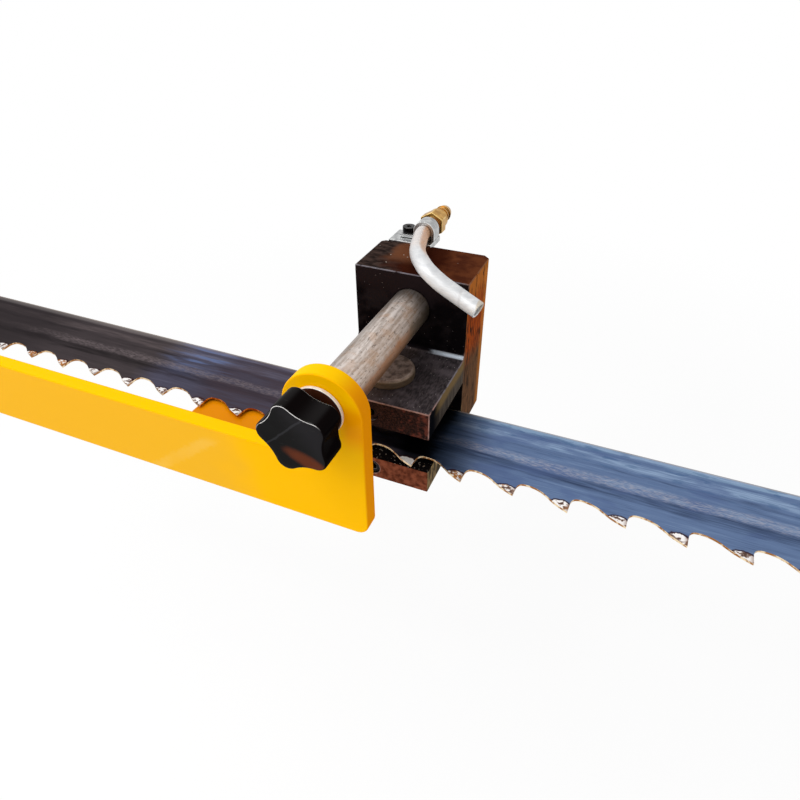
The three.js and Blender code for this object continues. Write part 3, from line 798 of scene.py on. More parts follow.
@dataclass(frozen=True)
class BluedBand(Finish):
    """Blued spring steel, dark to the left, with silver ground tips and gold gullet edges.

    The rolls and guides have rubbed lanes along it, which are lighter or darker all the way.

    Attributes:
        scuff: Y of the rubbed line along its middle.
        low_lane: Y of the dark lane in front of that line.
        dark_lane: Y of the thin dark lane behind it.
        bright_lane: Y of the bright lane behind that.
    """

    name: str = "blued_band"
    slot: str = "band_steel"
    scuff: float = -61.3
    low_lane: float = -67.0
    dark_lane: float = -51.5
    bright_lane: float = -47.0

    @staticmethod
    def _by_jaws(graph: Graph) -> Value:
        """Finds the stretch in front of the jaws.

        Args:
            graph: The material's graph.

        Returns:
            1 there and 0 elsewhere.
        """
        return graph.place[0].within(-28, -22, 32, 36)

    def _body(self, graph: Graph, fine: Value) -> Value:
        """Colours the band's flat faces.

        Args:
            graph: The material's graph.
            fine: The fine streaks along the band.

        Returns:
            The colour.
        """
        x, y, _ = graph.place
        broad = graph.noise(2.2, (12, 1, 1), 4, (2, 7, 1))
        patch = graph.noise(11, (2, 1, 1), 4, (8, 1, 4))
        grit = graph.noise(0.5, (6, 1, 1), 4, (4, 4, 9))
        across = y + patch * 4 - 2
        # painted highlight: lighter along the back edge
        back_edge_highlight = y.between(-42, -39)
        scuffed = across.peak(self.scuff, 4) * (0.35 + 0.65 * grit.between(0.35, 0.6))
        level = 0.48 + 0.75 * (fine - 0.5) + 0.75 * (broad - 0.5)
        level = level + 0.2 * scuffed + 0.25 * across.peak(self.bright_lane, 5) + 0.45 * back_edge_highlight
        level = level - 0.3 * across.peak(self.low_lane, 5) - 0.15 * across.peak(self.dark_lane, 2.5)
        low, high = level.between(0, 0.5), level.between(0.5, 1)
        wavy = graph.noise(2.6, (4, 1, 1), 5, (3, 2, 7)).between(0.56, 0.62)
        sky = graph.noise(3.5, (9, 1, 1), 4, (5, 1, 1)).between(0.46, 0.6)
        warm = (x + patch * 20).between(-112, -96)
        blue = graph.coat(
            "#3d4b68",
            (low, "#64799d"),
            (high, "#96adca"),
            (patch.between(0.52, 0.66) * 0.45, "#52648f"),
            (wavy * y.between(-60, -46) * 0.4, "#3f6088"),
            ((y + 44).between(0, 6) * broad.between(0.4, 0.6) * 0.3, "#4a7590"),
        )
        indigo = graph.coat(
            "#37333c",
            (low, "#514f5f"),
            (high, "#7b7a8f"),
            # painted reflection: light blue streaks of reflected sky
            (sky * across.between(-70, -50) * (0 - x).between(95, 120) * 0.7, "#6a7ba5"),
            (warm * (0.3 + 0.35 * broad.between(0.4, 0.6)), "#433538"),
        )
        char = graph.coat(
            "#2e2a2b",
            (low, "#494244"),
            (high, "#645a5b"),
            ((0 - x - patch * 20).between(205, 250) * 0.6, "#353032"),
            (back_edge_highlight * 0.5, "#86807f"),
        )
        rubbed = scuffed * (0.15 + 0.75 * grit.between(0.45, 0.6)) * (x + patch * 20).between(-270, -190)
        dust = graph.coat("#7d7274", (x.between(-60, 60), "#a2a1ae"))
        past_slot = x + patch * 14
        from_slot = past_slot.between(12, 24)
        return graph.coat(
            char,
            ((x + patch * 24).between(-150, -124), indigo),
            ((x + patch * 12).between(26, 38), blue),
            (rubbed * 0.7, dust),
            # painted shade and painted reflection of the block: darker beside the slot, near black close to
            # it
            (from_slot * (past_slot + broad * 8).between(68, 44) * 0.6, "#1f2b3f"),
            (from_slot * (past_slot + broad * 8).between(46, 35) * 0.9, "#101216"),
        )

    def _ground_tips(self, graph: Graph, shade: Value) -> Value:
        """Lays the ground tips over the band's colour.

        Args:
            graph: The material's graph.
            shade: The band's colour.

        Returns:
            The colour.
        """
        x, y, _ = graph.place
        from_tip = (x - (FIRST_TIP - TOOTH_PITCH / 2)) % TOOTH_PITCH - TOOTH_PITCH / 2
        reach_x = (from_tip + 3.6) / 5.2
        reach_y = (y - TIP_LINE - 0.6) / 4.4
        wobble = graph.noise(1.6)
        reach = (reach_x * reach_x + reach_y * reach_y) ** 0.5 + (wobble - 0.5) * 0.35
        chip = graph.noise(2.1, (1, 0.7, 1), 2, (5, 2, 2))
        tooth = graph.noise(32, detail=1, shift=(7, 2, 6))
        silver = graph.coat(
            "#fbf8f6",
            (chip.between(0.5, 0.56), "#8d766c"),
            (chip.between(0.59, 0.64), "#604a42"),
            (tooth.between(0.5, 0.58) * chip.between(0.42, 0.5), "#b67a45"),
            (from_tip.between(-2.0, 0) * 0.6, "#8a6450"),
            # painted light: the tip in front of the jaws, in their shadow, is made whiter
            (self._by_jaws(graph) * 0.9, "#fffdfa"),
        )
        return graph.coat(
            shade, (reach.between(1.34, 1.2) * 0.9, "#35191c"), (reach.between(1.12, 1.04), silver)
        )

    def paint(self, graph: Graph) -> None:
        """Builds the finish's nodes.

        Args:
            graph: The empty graph of its material.
        """
        _, y, _ = graph.place
        _, _, up = graph.facing
        fine = graph.noise(0.5, (30, 1, 1), 5)
        rim = (up * up).between(0.55, 0.2)
        gullet = rim * (y - TIP_LINE).between(13, 9.6)
        gold = graph.coat("#a8713c", (graph.noise(2.5).between(0.4, 0.6), "#f6e0bb"))
        shade = graph.coat(
            self._ground_tips(graph, self._body(graph, fine)),
            # painted highlight: a light line along the back edge
            (y.between(-38.3, -37.5) * 0.6, "#b7aba1"),
            (rim, "#2c3038"),
            (gullet, gold),
        )
        dull = self._by_jaws(graph) * y.between(-77, -79).larger(gullet)
        graph.finish(
            {
                "Base Color": shade,
                "Metallic": 1 - 0.85 * dull,
                "Roughness": 0.3 + 0.2 * fine,
                "Specular Tint": EDGE_TINT,
                "Normal": graph.bump(fine, 0.03, 0.3),
            }
        )


@dataclass(frozen=True)
class SatinTube(Finish):
    """Drawn aluminium tube with painted shade on its underside and left side, and a painted warm reflection
    where it leaves the block.
    """

    name: str = "satin_tube"
    slot: str = "tube_satin"

    def paint(self, graph: Graph) -> None:
        """Builds the finish's nodes.

        Args:
            graph: The empty graph of its material.
        """
        x, y, _ = graph.place
        across, along, up = graph.facing
        drawn = graph.noise(0.6, (5, 5, 1), 4)
        smear = graph.noise(3, detail=4, shift=(6, 2, 3))
        lines = graph.noise(1.2, (4, 4, 1), shift=(1, 7, 2))
        # painted reflection: a warm tint on the faces turned right and back, where the tube leaves the block
        warm = (y + smear * 6).between(-46, -28) * (across + along * 0.5).between(0.1, 0.6)
        shade = graph.coat(
            "#d6d7d8",
            (drawn.between(0.3, 0.7), "#e4e4e4"),
            (smear.between(0.52, 0.75) * 0.2, "#bcbdbf"),
            ((y + smear * 6).between(-34, -18) * 0.3, "#e2c3ac"),
            (warm * 0.8, "#d79a63"),
            # painted shade: greyer on the left side and the underside, and in streaks on the upper side
            (across.between(-0.4, -0.9) * 0.5, "#a9a7aa"),
            (up.between(0.35, 0.8) * lines.between(0.3, 0.6) * 0.25, "#a9adb4"),
            ((0 - up).between(0.2, 0.9) * 0.5, "#a09a96"),
            (x.peak(31.6, 0.9) * 0.2, "#8d8480"),
            ((x * x).between(1560, 1610) * 0.5, "#b39a6c"),
        )
        graph.finish(
            {
                "Base Color": shade,
                "Metallic": 0.3,
                "Roughness": 0.36 + 0.08 * drawn,
                "Specular IOR Level": 0.3,
                "Normal": graph.bump(drawn, 0.05, 0.2),
            }
        )


@dataclass(frozen=True)
class PlainMetal(Finish):
    """A metal of one colour that varies a little, with brighter edges.

    Attributes:
        body: Its colour.
        shadow: The darker colour of its clouds.
        bright: The colour of its rubbed edges.
        front: The colour of the faces that look to the front, or nothing.
        metal: How metallic it is.
    """

    name: str = "zinc_plate"
    slot: str = "zinc_steel"
    body: str = "#c6c7c6"
    shadow: str = "#9b9c9d"
    bright: str = "#ecedec"
    front: Optional[str] = None
    metal: float = 1.0

    def paint(self, graph: Graph) -> None:
        """Builds the finish's nodes.

        Args:
            graph: The empty graph of its material.
        """
        _, along, _ = graph.facing
        cloud = graph.noise(3, detail=4)
        grain = graph.noise(0.5, shift=(2, 2, 6))
        shade = graph.coat(self.shadow, (cloud.between(0.3, 0.7), self.body))
        # the front faces' own colour; on the washer it is a painted dark reflection
        if self.front:
            shade = graph.coat(shade, (along.between(-0.8, -0.97), self.front))
        shade = graph.coat(shade, (graph.edges * cloud.between(0.3, 0.5) * 0.7, self.bright))
        graph.finish(
            {
                "Base Color": shade,
                "Metallic": self.metal,
                "Roughness": 0.26 + 0.16 * cloud,
                "Normal": graph.bump(grain, 0.03, 0.3),
            }
        )


BLOCK_FINISH = BlackenedBlock()
SHAFT_FINISH = WornSteel()
PIN_FINISH = WornSteel(
    name="worn_pin_steel",
    slot="pin_steel",
    light="#a18c80",
    dark="#62524a",
    stain_and_reflection="#6b5648",
    stretch=(3.0, 3.0, 1.0),
    darkened_end_y=None,
    # the pin below this height lies in the slot's shade and is painted black
    shade_below_z=-8.0,
    rubbed=0.1,
    metal=0.4,
)
PAINT_FINISH = GlossPaint()
# The tab has the guard's yellow paint; this darker orange copy is painted shade, as the tab lies under the
# band.
SHADED_TAB_FINISH = GlossPaint(name="shaded_tab_paint", body="#d98005", pale_sheen="#d98005", top="#e08a06", side="#c77405")
KNOB_FINISH = MouldedPlastic()
BAND_FINISH = BluedBand()
TUBE_FINISH = SatinTube()
ZINC_FINISH = PlainMetal()
# The washer's dark brown front is a painted reflection of the knob's dark back.
WASHER_FINISH = PlainMetal(
    name="washer_plate", body="#f4f3f1", shadow="#e2dedb", bright="#fbfaf8", front="#48210f", metal=0.25
)
SCREW_FINISH = PlainMetal("black_screw", "screw_black", "#211f1f", "#121112", "#6f6b69")
# A darker copy of the black screw's finish: painted shade for the upper pin's set screw beside the guard's
# ear.
SHADED_SCREW_FINISH = PlainMetal("shaded_screw", "screw_black", "#2a1612", "#1c0f0c", "#341c17")
PAD_FINISH = PlainMetal("ground_pad", "pad_steel", "#8b8d91", "#64666b", "#c9cacc")
BRASS_FINISH = PlainMetal("plain_brass", "brass", "#cfa257", "#a57b39", "#efd08a")


def linked(name: str, data: bpy.types.ID) -> bpy.types.Object:
    """Adds an object to the scene.

    Args:
        name: The object's name.
        data: Its mesh, camera or lamp.

    Returns:
        The new object.
    """
    added = bpy.data.objects.new(name, data)
    bpy.context.scene.collection.objects.link(added)
    return added


@dataclass
class Piece:
    """One visible piece and its place in the frame.

    Attributes:
        shape: The Blender object.
        node: The CAD node that it replaces.
        body: The body that it rides on.
        finish: Its finish; it is not used.
    """

    shape: bpy.types.Object
    node: str
    body: Body
    finish: Finish

    def fit(self) -> None:
        """Ties the piece to the frame."""
        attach(self.shape, self.body.value)
        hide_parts(self.node)
        LOG.info("%s rides on %s", self.shape.name, self.body.value)


def solid(mesh: bmesh.types.BMesh, name: str, node: str, body: Body, finish: Finish) -> Piece:
    """Turns a bmesh into a piece with smooth faces between sharp edges.

    Args:
        mesh: The bmesh, in metres, which is freed.
        name: The piece's name.
        node: The CAD node that it replaces.
        body: The body that it rides on.
        finish: Its finish.

    Returns:
        The piece.
    """
    bmesh.ops.recalc_face_normals(mesh, faces=mesh.faces)
    for face in mesh.faces:
        face.smooth = True
    data = bpy.data.meshes.new(name)
    mesh.to_mesh(data)
    mesh.free()
    data.set_sharp_from_angle(angle=SHARP_ANGLE)
    data.materials.append(finish.material())
    return Piece(linked(name, data), node, body, finish)


def soften(mesh: bmesh.types.BMesh, width: float, steps: int, least_face: float) -> None:
    """Rounds the sharp edges of a bmesh and marks the new faces.

    Args:
        mesh: The bmesh, in metres.
        width: How far the rounding reaches, in millimetres.
        steps: The number of faces across it.
        least_face: An edge stays sharp where both its faces are smaller than this, in square
            millimetres, such as where two bores cross.
    """
    mark = mesh.faces.layers.float.new(EDGE_MARK)
    sharp = [
        edge
        for edge in mesh.edges
        if len(edge.link_faces) == 2
        and edge.calc_face_angle(0) > SHARP_ANGLE
        and max(face.calc_area() for face in edge.link_faces) >= least_face * MM**2
    ]
    made = bmesh.ops.bevel(
        mesh,
        geom=sharp,
        offset=width * MM,
        offset_type="OFFSET",
        segments=steps,
        profile=0.5,
        affect="EDGES",
        clamp_overlap=False,
    )
    for face in made["faces"]:
        face[mark] = 1.0


def dressed(
    node: str,
    body: Body,
    finish: Finish,
    width: float,
    name: str = "",
    steps: int = 2,
    least_face: float = 0.0,
) -> Piece:
    """Replaces a CAD node by its own shape with rounded edges.

    Args:
        node: The CAD node.
        body: The body that it rides on.
        finish: Its finish.
        width: How far the rounding of its edges reaches, in millimetres.
        name: The piece's name, when it isn't the node's with an ending.
        steps: The number of faces across the rounding.
        least_face: The smallest face, in square millimetres, whose edges are rounded.

    Returns:
        The piece.
    """
    mesh = bmesh.new()
    mesh.from_mesh(bpy.data.objects[node].data)
    bmesh.ops.remove_doubles(mesh, verts=mesh.verts, dist=WELD_DISTANCE)
    bmesh.ops.dissolve_limit(
        mesh, angle_limit=FLAT_ANGLE, verts=mesh.verts, edges=mesh.edges, delimit=set()
    )
    soften(mesh, width, steps, least_face)
    piece = solid(mesh, name or f"{node}_shape", node, body, finish)
    piece.shape.modifiers.new("even_shading", "WEIGHTED_NORMAL").keep_sharp = True
    return piece


def bridge(
    mesh: bmesh.types.BMesh, first: Row, second: Row, closed: bool = True
) -> list[bmesh.types.BMFace]:
    """Joins two rows of points by faces.

    Args:
        mesh: The bmesh.
        first: A row of points, or a single one where the faces meet.
        second: The next row.
        closed: Whether the rows close on themselves.

    Returns:
        The new faces.
    """
    count = max(len(first), len(second))
    faces = []
    for i in range(count if closed else count - 1):
        j = (i + 1) % count
        near = (first[i % len(first)], first[j % len(first)])
        far = (second[j % len(second)], second[i % len(second)])
        faces.append(mesh.faces.new(list(dict.fromkeys(near + far))))
    return faces


def to_metres(mesh: bmesh.types.BMesh, x: float = 0.0, z: float = 0.0) -> None:
    """Moves a bmesh along X and Z and turns its millimetres into metres.

    Args:
        mesh: The bmesh.
        x: How far it moves along X, in millimetres.
        z: How far it moves along Z, in millimetres.
    """
    mesh.transform(Matrix.Scale(MM, 4) @ Matrix.Translation((x, 0.0, z)))


def turned_mesh(profile: Sequence[Flat], x: float, z: float, sides: int = 96) -> bmesh.types.BMesh:
    """Turns a profile about a line along Y.

    Args:
        profile: Radius and Y of each point, in millimetres. A radius of 0 is a point on the line. A
            profile that starts off the line closes on itself.
        x: The line's X, in millimetres.
        z: The line's Z, in millimetres.
        sides: The number of faces around it.

    Returns:
        The bmesh, in metres.
    """
    mesh = bmesh.new()
    rings = []
    for radius, y in profile:
        angles = (2 * math.pi * i / sides for i in range(sides if radius else 1))
        rings.append([mesh.verts.new((radius * math.sin(a), y, radius * math.cos(a))) for a in angles])
    following = rings[1:] + (rings[:1] if profile[0][0] else [])
    for first, second in zip(rings, following):
        bridge(mesh, first, second)
    to_metres(mesh, x, z)
    return mesh


def swept_mesh(
    route: Sequence[Vector], outer: float, inner: float, sides: int, lip: float
) -> bmesh.types.BMesh:
    """Sweeps a round tube with rounded lips along a route.

    Args:
        route: The centre line's points, in millimetres.
        outer: The tube's radius.
        inner: The bore's radius.
        sides: The number of faces around it.
        lip: How far its ends are rounded.

    Returns:
        The bmesh, in metres.
    """
    mesh = bmesh.new()
    last = len(route) - 1
    tangents = [(route[min(i + 1, last)] - route[max(i - 1, 0)]).normalized() for i in range(last + 1)]
    upright = tangents[0].orthogonal().normalized()
    frames: list[tuple[Vector, Vector]] = []
    for tangent in tangents:
        upright = (upright - tangent * upright.dot(tangent)).normalized()
        frames.append((upright, tangent.cross(upright)))

    def ring(index: int, radius: float, shift: float = 0.0) -> Row:
        """Adds one ring of points around the route.

        Args:
            index: The number of the route's point.
            radius: The ring's radius.
            shift: How far it is moved along the route.

        Returns:
            The points.
        """
        first, second = frames[index]
        middle = route[index] + tangents[index] * shift
        angles = [2 * math.pi * i / sides for i in range(sides)]
        spokes = [first * math.cos(a) + second * math.sin(a) for a in angles]
        return [mesh.verts.new((middle + spoke * radius) * MM) for spoke in spokes]

    rings = [
        ring(0, inner + lip),
        ring(0, outer - lip),
        ring(0, outer, lip),
        *(ring(i, outer) for i in range(1, last)),
        ring(last, outer, -lip),
        ring(last, outer - lip),
        ring(last, inner + lip),
        ring(last, inner, -lip),
        *(ring(i, inner) for i in range(last - 1, 0, -1)),
        ring(0, inner, lip),
    ]
    for first, second in zip(rings, rings[1:] + rings[:1]):
        bridge(mesh, first, second)
    return mesh


def smooth_route(points: Sequence[Vector], steps: int) -> list[Vector]:
    """Runs a centripetal curve through some points.

    Args:
        points: The points that it passes.
        steps: The number of steps between two of them.

    Returns:
        The points along the curve.
    """
    chain = [points[0] * 2 - points[1], *points, points[-1] * 2 - points[-2]]
    route: list[Vector] = []
    for i in range(1, len(chain) - 2):
        span = chain[i - 1 : i + 3]
        knots = [0.0]
        for start, end in zip(span, span[1:]):
            knots.append(knots[-1] + math.sqrt((end - start).length))
        for step in range(steps):
            t = knots[1] + (knots[2] - knots[1]) * step / steps
            level = span
            for reach in (1, 2):
                level = [
                    level[k].lerp(level[k + 1], (t - knots[k]) / (knots[k + reach] - knots[k]))
                    for k in range(len(level) - 1)
                ]
            route.append(level[0].lerp(level[1], (t - knots[1]) / (knots[2] - knots[1])))
    route.append(points[-1].copy())
    return route


class SubAssembly(ABC):
    """A group of pieces that a maker would put together on the bench."""

    @abstractmethod
    def pieces(self) -> list[Piece]:
        """Makes the group's pieces.

        Returns:
            The pieces.
        """

    def build(self) -> None:
        """Makes the pieces and ties each one to the frame."""
        for piece in self.pieces():
            piece.fit()


@dataclass
class GuideBlock(SubAssembly):
    """The C-shaped block with its set screws.

    Attributes:
        edge: The rounding of the block's edges.
        least_face: The smallest face whose edges are rounded, in square millimetres.
        screw_edge: The rounding of a screw's edges.
    """

    edge: float = 0.5
    least_face: float = 60.0
    screw_edge: float = 0.25

    def pieces(self) -> list[Piece]:
        """Makes the block and its screws.

        Returns:
            The pieces.
        """
        screws = {
            "shaft_set_screw": SCREW_FINISH,
            "upper_pin_set_screw": SHADED_SCREW_FINISH,
            "lower_pin_set_screw": SCREW_FINISH,
        }
        return [
            dressed("guide_block", Body.BLOCK, BLOCK_FINISH, self.edge, least_face=self.least_face),
            *(dressed(screw, Body.BLOCK, finish, self.screw_edge) for screw, finish in screws.items()),
        ]


@dataclass
class BandGuides(SubAssembly):
    """The two guide pins with their pads, and the thrust button behind the band.

    Attributes:
        edge: The rounding of the pins' edges.
        pad_edge: The rounding of the pads' edges.
    """

    edge: float = 0.35
    pad_edge: float = 0.2

    def pieces(self) -> list[Piece]:
        """Makes the pins, pads, thrust button and its screw.

        Returns:
            The pieces.
        """
        return [
            dressed("upper_guide_pin", Body.UPPER_PIN, PIN_FINISH, self.edge),
            dressed("upper_wear_pad", Body.UPPER_PIN, PAD_FINISH, self.pad_edge),
            dressed("lower_guide_pin", Body.LOWER_PIN, PIN_FINISH, self.edge),
            dressed("lower_wear_pad", Body.LOWER_PIN, PAD_FINISH, self.pad_edge),
            dressed("thrust_button", Body.THRUST, PAD_FINISH, self.pad_edge),
            dressed("thrust_screw", Body.THRUST, SCREW_FINISH, self.pad_edge),
        ]


@dataclass
class GuardArm(SubAssembly):
    """The shaft, the yellow guard that swings on it, and the tab welded behind the guard.

    Attributes:
        axis_z: The shaft's height.
        radius: The shaft's radius.
        front: Y of the shaft's front end.
        back: Y of its end inside the block.
        chamfer: The chamfer of its ends.
        bore_radius: The radius of the thread hole in its front end.
        bore_depth: The depth of that hole.
        guard_edge: The rounding of the guard's edges.
        tab_edge: The rounding of the tab's edges.
    """

    axis_z: float = 26.6
    radius: float = 10.0
    front: float = -118.7
    back: float = -10.3
    chamfer: float = 0.8
    bore_radius: float = 5.8
    bore_depth: float = 20.0
    guard_edge: float = 0.7
    tab_edge: float = 0.6

    def _shaft(self) -> Piece:
        """Turns the shaft, with chamfered ends and its thread hole.

        Returns:
            The shaft.
        """
        bore_end = self.front + self.bore_depth
        profile = [
            (0.0, bore_end),
            (self.bore_radius, bore_end),
            (self.bore_radius, self.front),
            (self.radius - self.chamfer, self.front),
            (self.radius, self.front + self.chamfer),
            (self.radius, self.back - self.chamfer),
            (self.radius - self.chamfer, self.back),
            (0.0, self.back),
        ]
        mesh = turned_mesh(profile, 0.0, self.axis_z)
        return solid(mesh, "worn_shaft", "guard_shaft", Body.BLOCK, SHAFT_FINISH)

    def pieces(self) -> list[Piece]:
        """Makes the shaft, the guard and its tab.

        Returns:
            The pieces.
        """
        guard = dressed("blade_guard", Body.GUARD, PAINT_FINISH, self.guard_edge, "painted_guard", steps=4)
        tab = dressed("guard_tab", Body.GUARD, SHADED_TAB_FINISH, self.tab_edge, "painted_tab", steps=3)
        return [self._shaft(), guard, tab]


@dataclass
class ClampKnob(SubAssembly):
    """The star knob with its stud and washer.

    Attributes:
        axis_x: X of its axis.
        axis_z: The height of its axis.
        radius: The lobes' outermost radius.
        lobe_radius: The radius of a lobe.
        valley_radius: The radius of the hollow between two lobes.
        lobes: The number of lobes.
        first_angle: The first lobe's angle from X, in degrees.
        front: Y of the knob's face.
        back: Y of the lobes' back.
        hub_back: Y of the hub's end.
        hub_radius: The hub's radius.
        hub_fillet: The fillet between the hub and the lobes.
        hub_chamfer: The chamfer of the hub's end.
        rim: The rounding of the front rim.
        back_rim: The rounding of the back rim.
        rim_steps: The number of faces across a rim.
        dish: How deep the face is dished.
        arc_steps: The number of points around a lobe or a hollow.
        washer_hole: The radius of the washer's hole.
        washer_edge: The rounding of the washer's edges.
        stud_edge: The rounding of the stud's edges.
    """

    axis_x: float = -0.8
    axis_z: float = 27.8
    radius: float = 16.0
    lobe_radius: float = 5.0
    valley_radius: float = 16.0
    lobes: int = 5
    first_angle: float = 34.4
    front: float = -147.3
    back: float = -134.8
    hub_back: float = -129.6
    hub_radius: float = 8.0
    hub_fillet: float = 0.6
    hub_chamfer: float = 0.4
    rim: float = 0.9
    back_rim: float = 0.6
    rim_steps: int = 5
    dish: float = 0.5
    arc_steps: int = 12
    washer_hole: float = 5.2
    washer_edge: float = 0.35
    stud_edge: float = 0.5

    # Shares of the face's width and of the dish's depth, from the middle out
    FACE_ROWS = ((0.3, 0.95), (0.6, 0.7), (0.86, 0.25))
    # How far the front rim and the back rim count as edges, which carry the knob's painted rim highlight
    RIM_MARKS = (1.0, 0.6)

    def _outline(self, inset: float) -> list[Flat]:
        """Walks once around the lobes and hollows.

        Args:
            inset: How far the outline is drawn in.

        Returns:
            X and Z of its points, from the knob's axis.
        """
        lobe = self.lobe_radius - inset
        valley = self.valley_radius + inset
        middle = self.radius - self.lobe_radius
        half = math.pi / self.lobes
        chord = middle * math.sin(half)
        valley_middle = middle * math.cos(half) + math.sqrt((lobe + valley) ** 2 - chord**2)
        turn = math.pi / 2 - math.acos(chord / (lobe + valley))
        spread = half + turn
        points: list[Flat] = []
        for i in range(self.lobes):
            towards = math.radians(self.first_angle) + 2 * half * i
            opposite = towards + half + math.pi
            arcs = (
                (middle, towards, lobe, towards - spread, 2 * spread),
                (valley_middle, towards + half, valley, opposite + turn, -2 * turn),
            )
            for distance, direction, radius, start, sweep in arcs:
                centre = Vector((distance * math.cos(direction), distance * math.sin(direction)))
                for step in range(self.arc_steps):
                    angle = start + sweep * step / self.arc_steps
                    points.append((centre.x + radius * math.cos(angle), centre.y + radius * math.sin(angle)))
        return points

    def _lobed_head(self) -> Piece:
        """Makes the lobed head with rounded rims, a dished face and its hub.

        Returns:
            The knob.
        """
        mesh = bmesh.new()
        mark = mesh.faces.layers.float.new(EDGE_MARK)

        def ring(points: Sequence[Flat], y: float, share: float = 1.0) -> Row:
            """Adds one ring of points.

            Args:
                points: X and Z of each point, from the knob's axis.
                y: The ring's Y.
                share: The share of their width that they are drawn in to.

            Returns:
                The points.
            """
            return [mesh.verts.new((px * share, y, pz * share)) for px, pz in points]

        angles = [math.pi / 2 * step / self.rim_steps for step in range(self.rim_steps + 1)]
        face_line = self._outline(self.rim)
        rings = [ring(face_line, self.front + self.dish * sink, share) for share, sink in self.FACE_ROWS]
        for angle in angles:
            inset, depth = self.rim * (1 - math.sin(angle)), self.rim * (1 - math.cos(angle))
            rings.append(ring(self._outline(inset), self.front + depth))
        for angle in angles:
            inset, depth = self.back_rim * (1 - math.cos(angle)), self.back_rim * (1 - math.sin(angle))
            rings.append(ring(self._outline(inset), self.back - depth))
        hub_rows = (
            (self.hub_radius + self.hub_fillet, self.back),
            (self.hub_radius, self.back + self.hub_fillet),
            (self.hub_radius, self.hub_back - self.hub_chamfer),
            (self.hub_radius - self.hub_chamfer, self.hub_back),
        )
        spokes = [Vector(point).normalized() for point in self._outline(self.back_rim)]
        rings += [ring([spoke * radius for spoke in spokes], y) for radius, y in hub_rows]
        front_line = len(self.FACE_ROWS) + 1
        marks = dict(zip((front_line, front_line + self.rim_steps + 1), self.RIM_MARKS))
        for number, (first, second) in enumerate(zip(rings, rings[1:])):
            for side in bridge(mesh, first, second):
                side[mark] = marks.get(number, 0.0)
        mesh.faces.new(rings[0])
        mesh.faces.new(rings[-1])
        to_metres(mesh, self.axis_x, self.axis_z)
        return solid(mesh, "lobed_knob", "star_knob", Body.KNOB, KNOB_FINISH)

    def _washer(self) -> Piece:
        """Turns the oversize washer, with rounded rims, in its CAD node's place.

        Returns:
            The washer.
        """
        low, high = (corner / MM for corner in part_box("knob_washer"))
        outer, inner, curve = (high.x - low.x) / 2, self.washer_hole, self.washer_edge
        halfway = curve * 0.3
        profile = [
            (inner, high.y - curve),
            (inner, low.y + curve),
            (inner + curve, low.y),
            (outer - curve, low.y),
            (outer - halfway, low.y + halfway),
            (outer, low.y + curve),
            (outer, high.y - curve),
            (outer - curve, high.y),
            (inner + curve, high.y),
        ]
        mesh = turned_mesh(profile, (low.x + high.x) / 2, (low.z + high.z) / 2)
        return solid(mesh, "loose_washer", "knob_washer", Body.WASHER, WASHER_FINISH)

    def pieces(self) -> list[Piece]:
        """Makes the knob, the washer and the stud.

        Returns:
            The pieces.
        """
        head, washer = self._lobed_head(), self._washer()
        return [head, washer, dressed("knob_stud", Body.KNOB, ZINC_FINISH, self.stud_edge)]


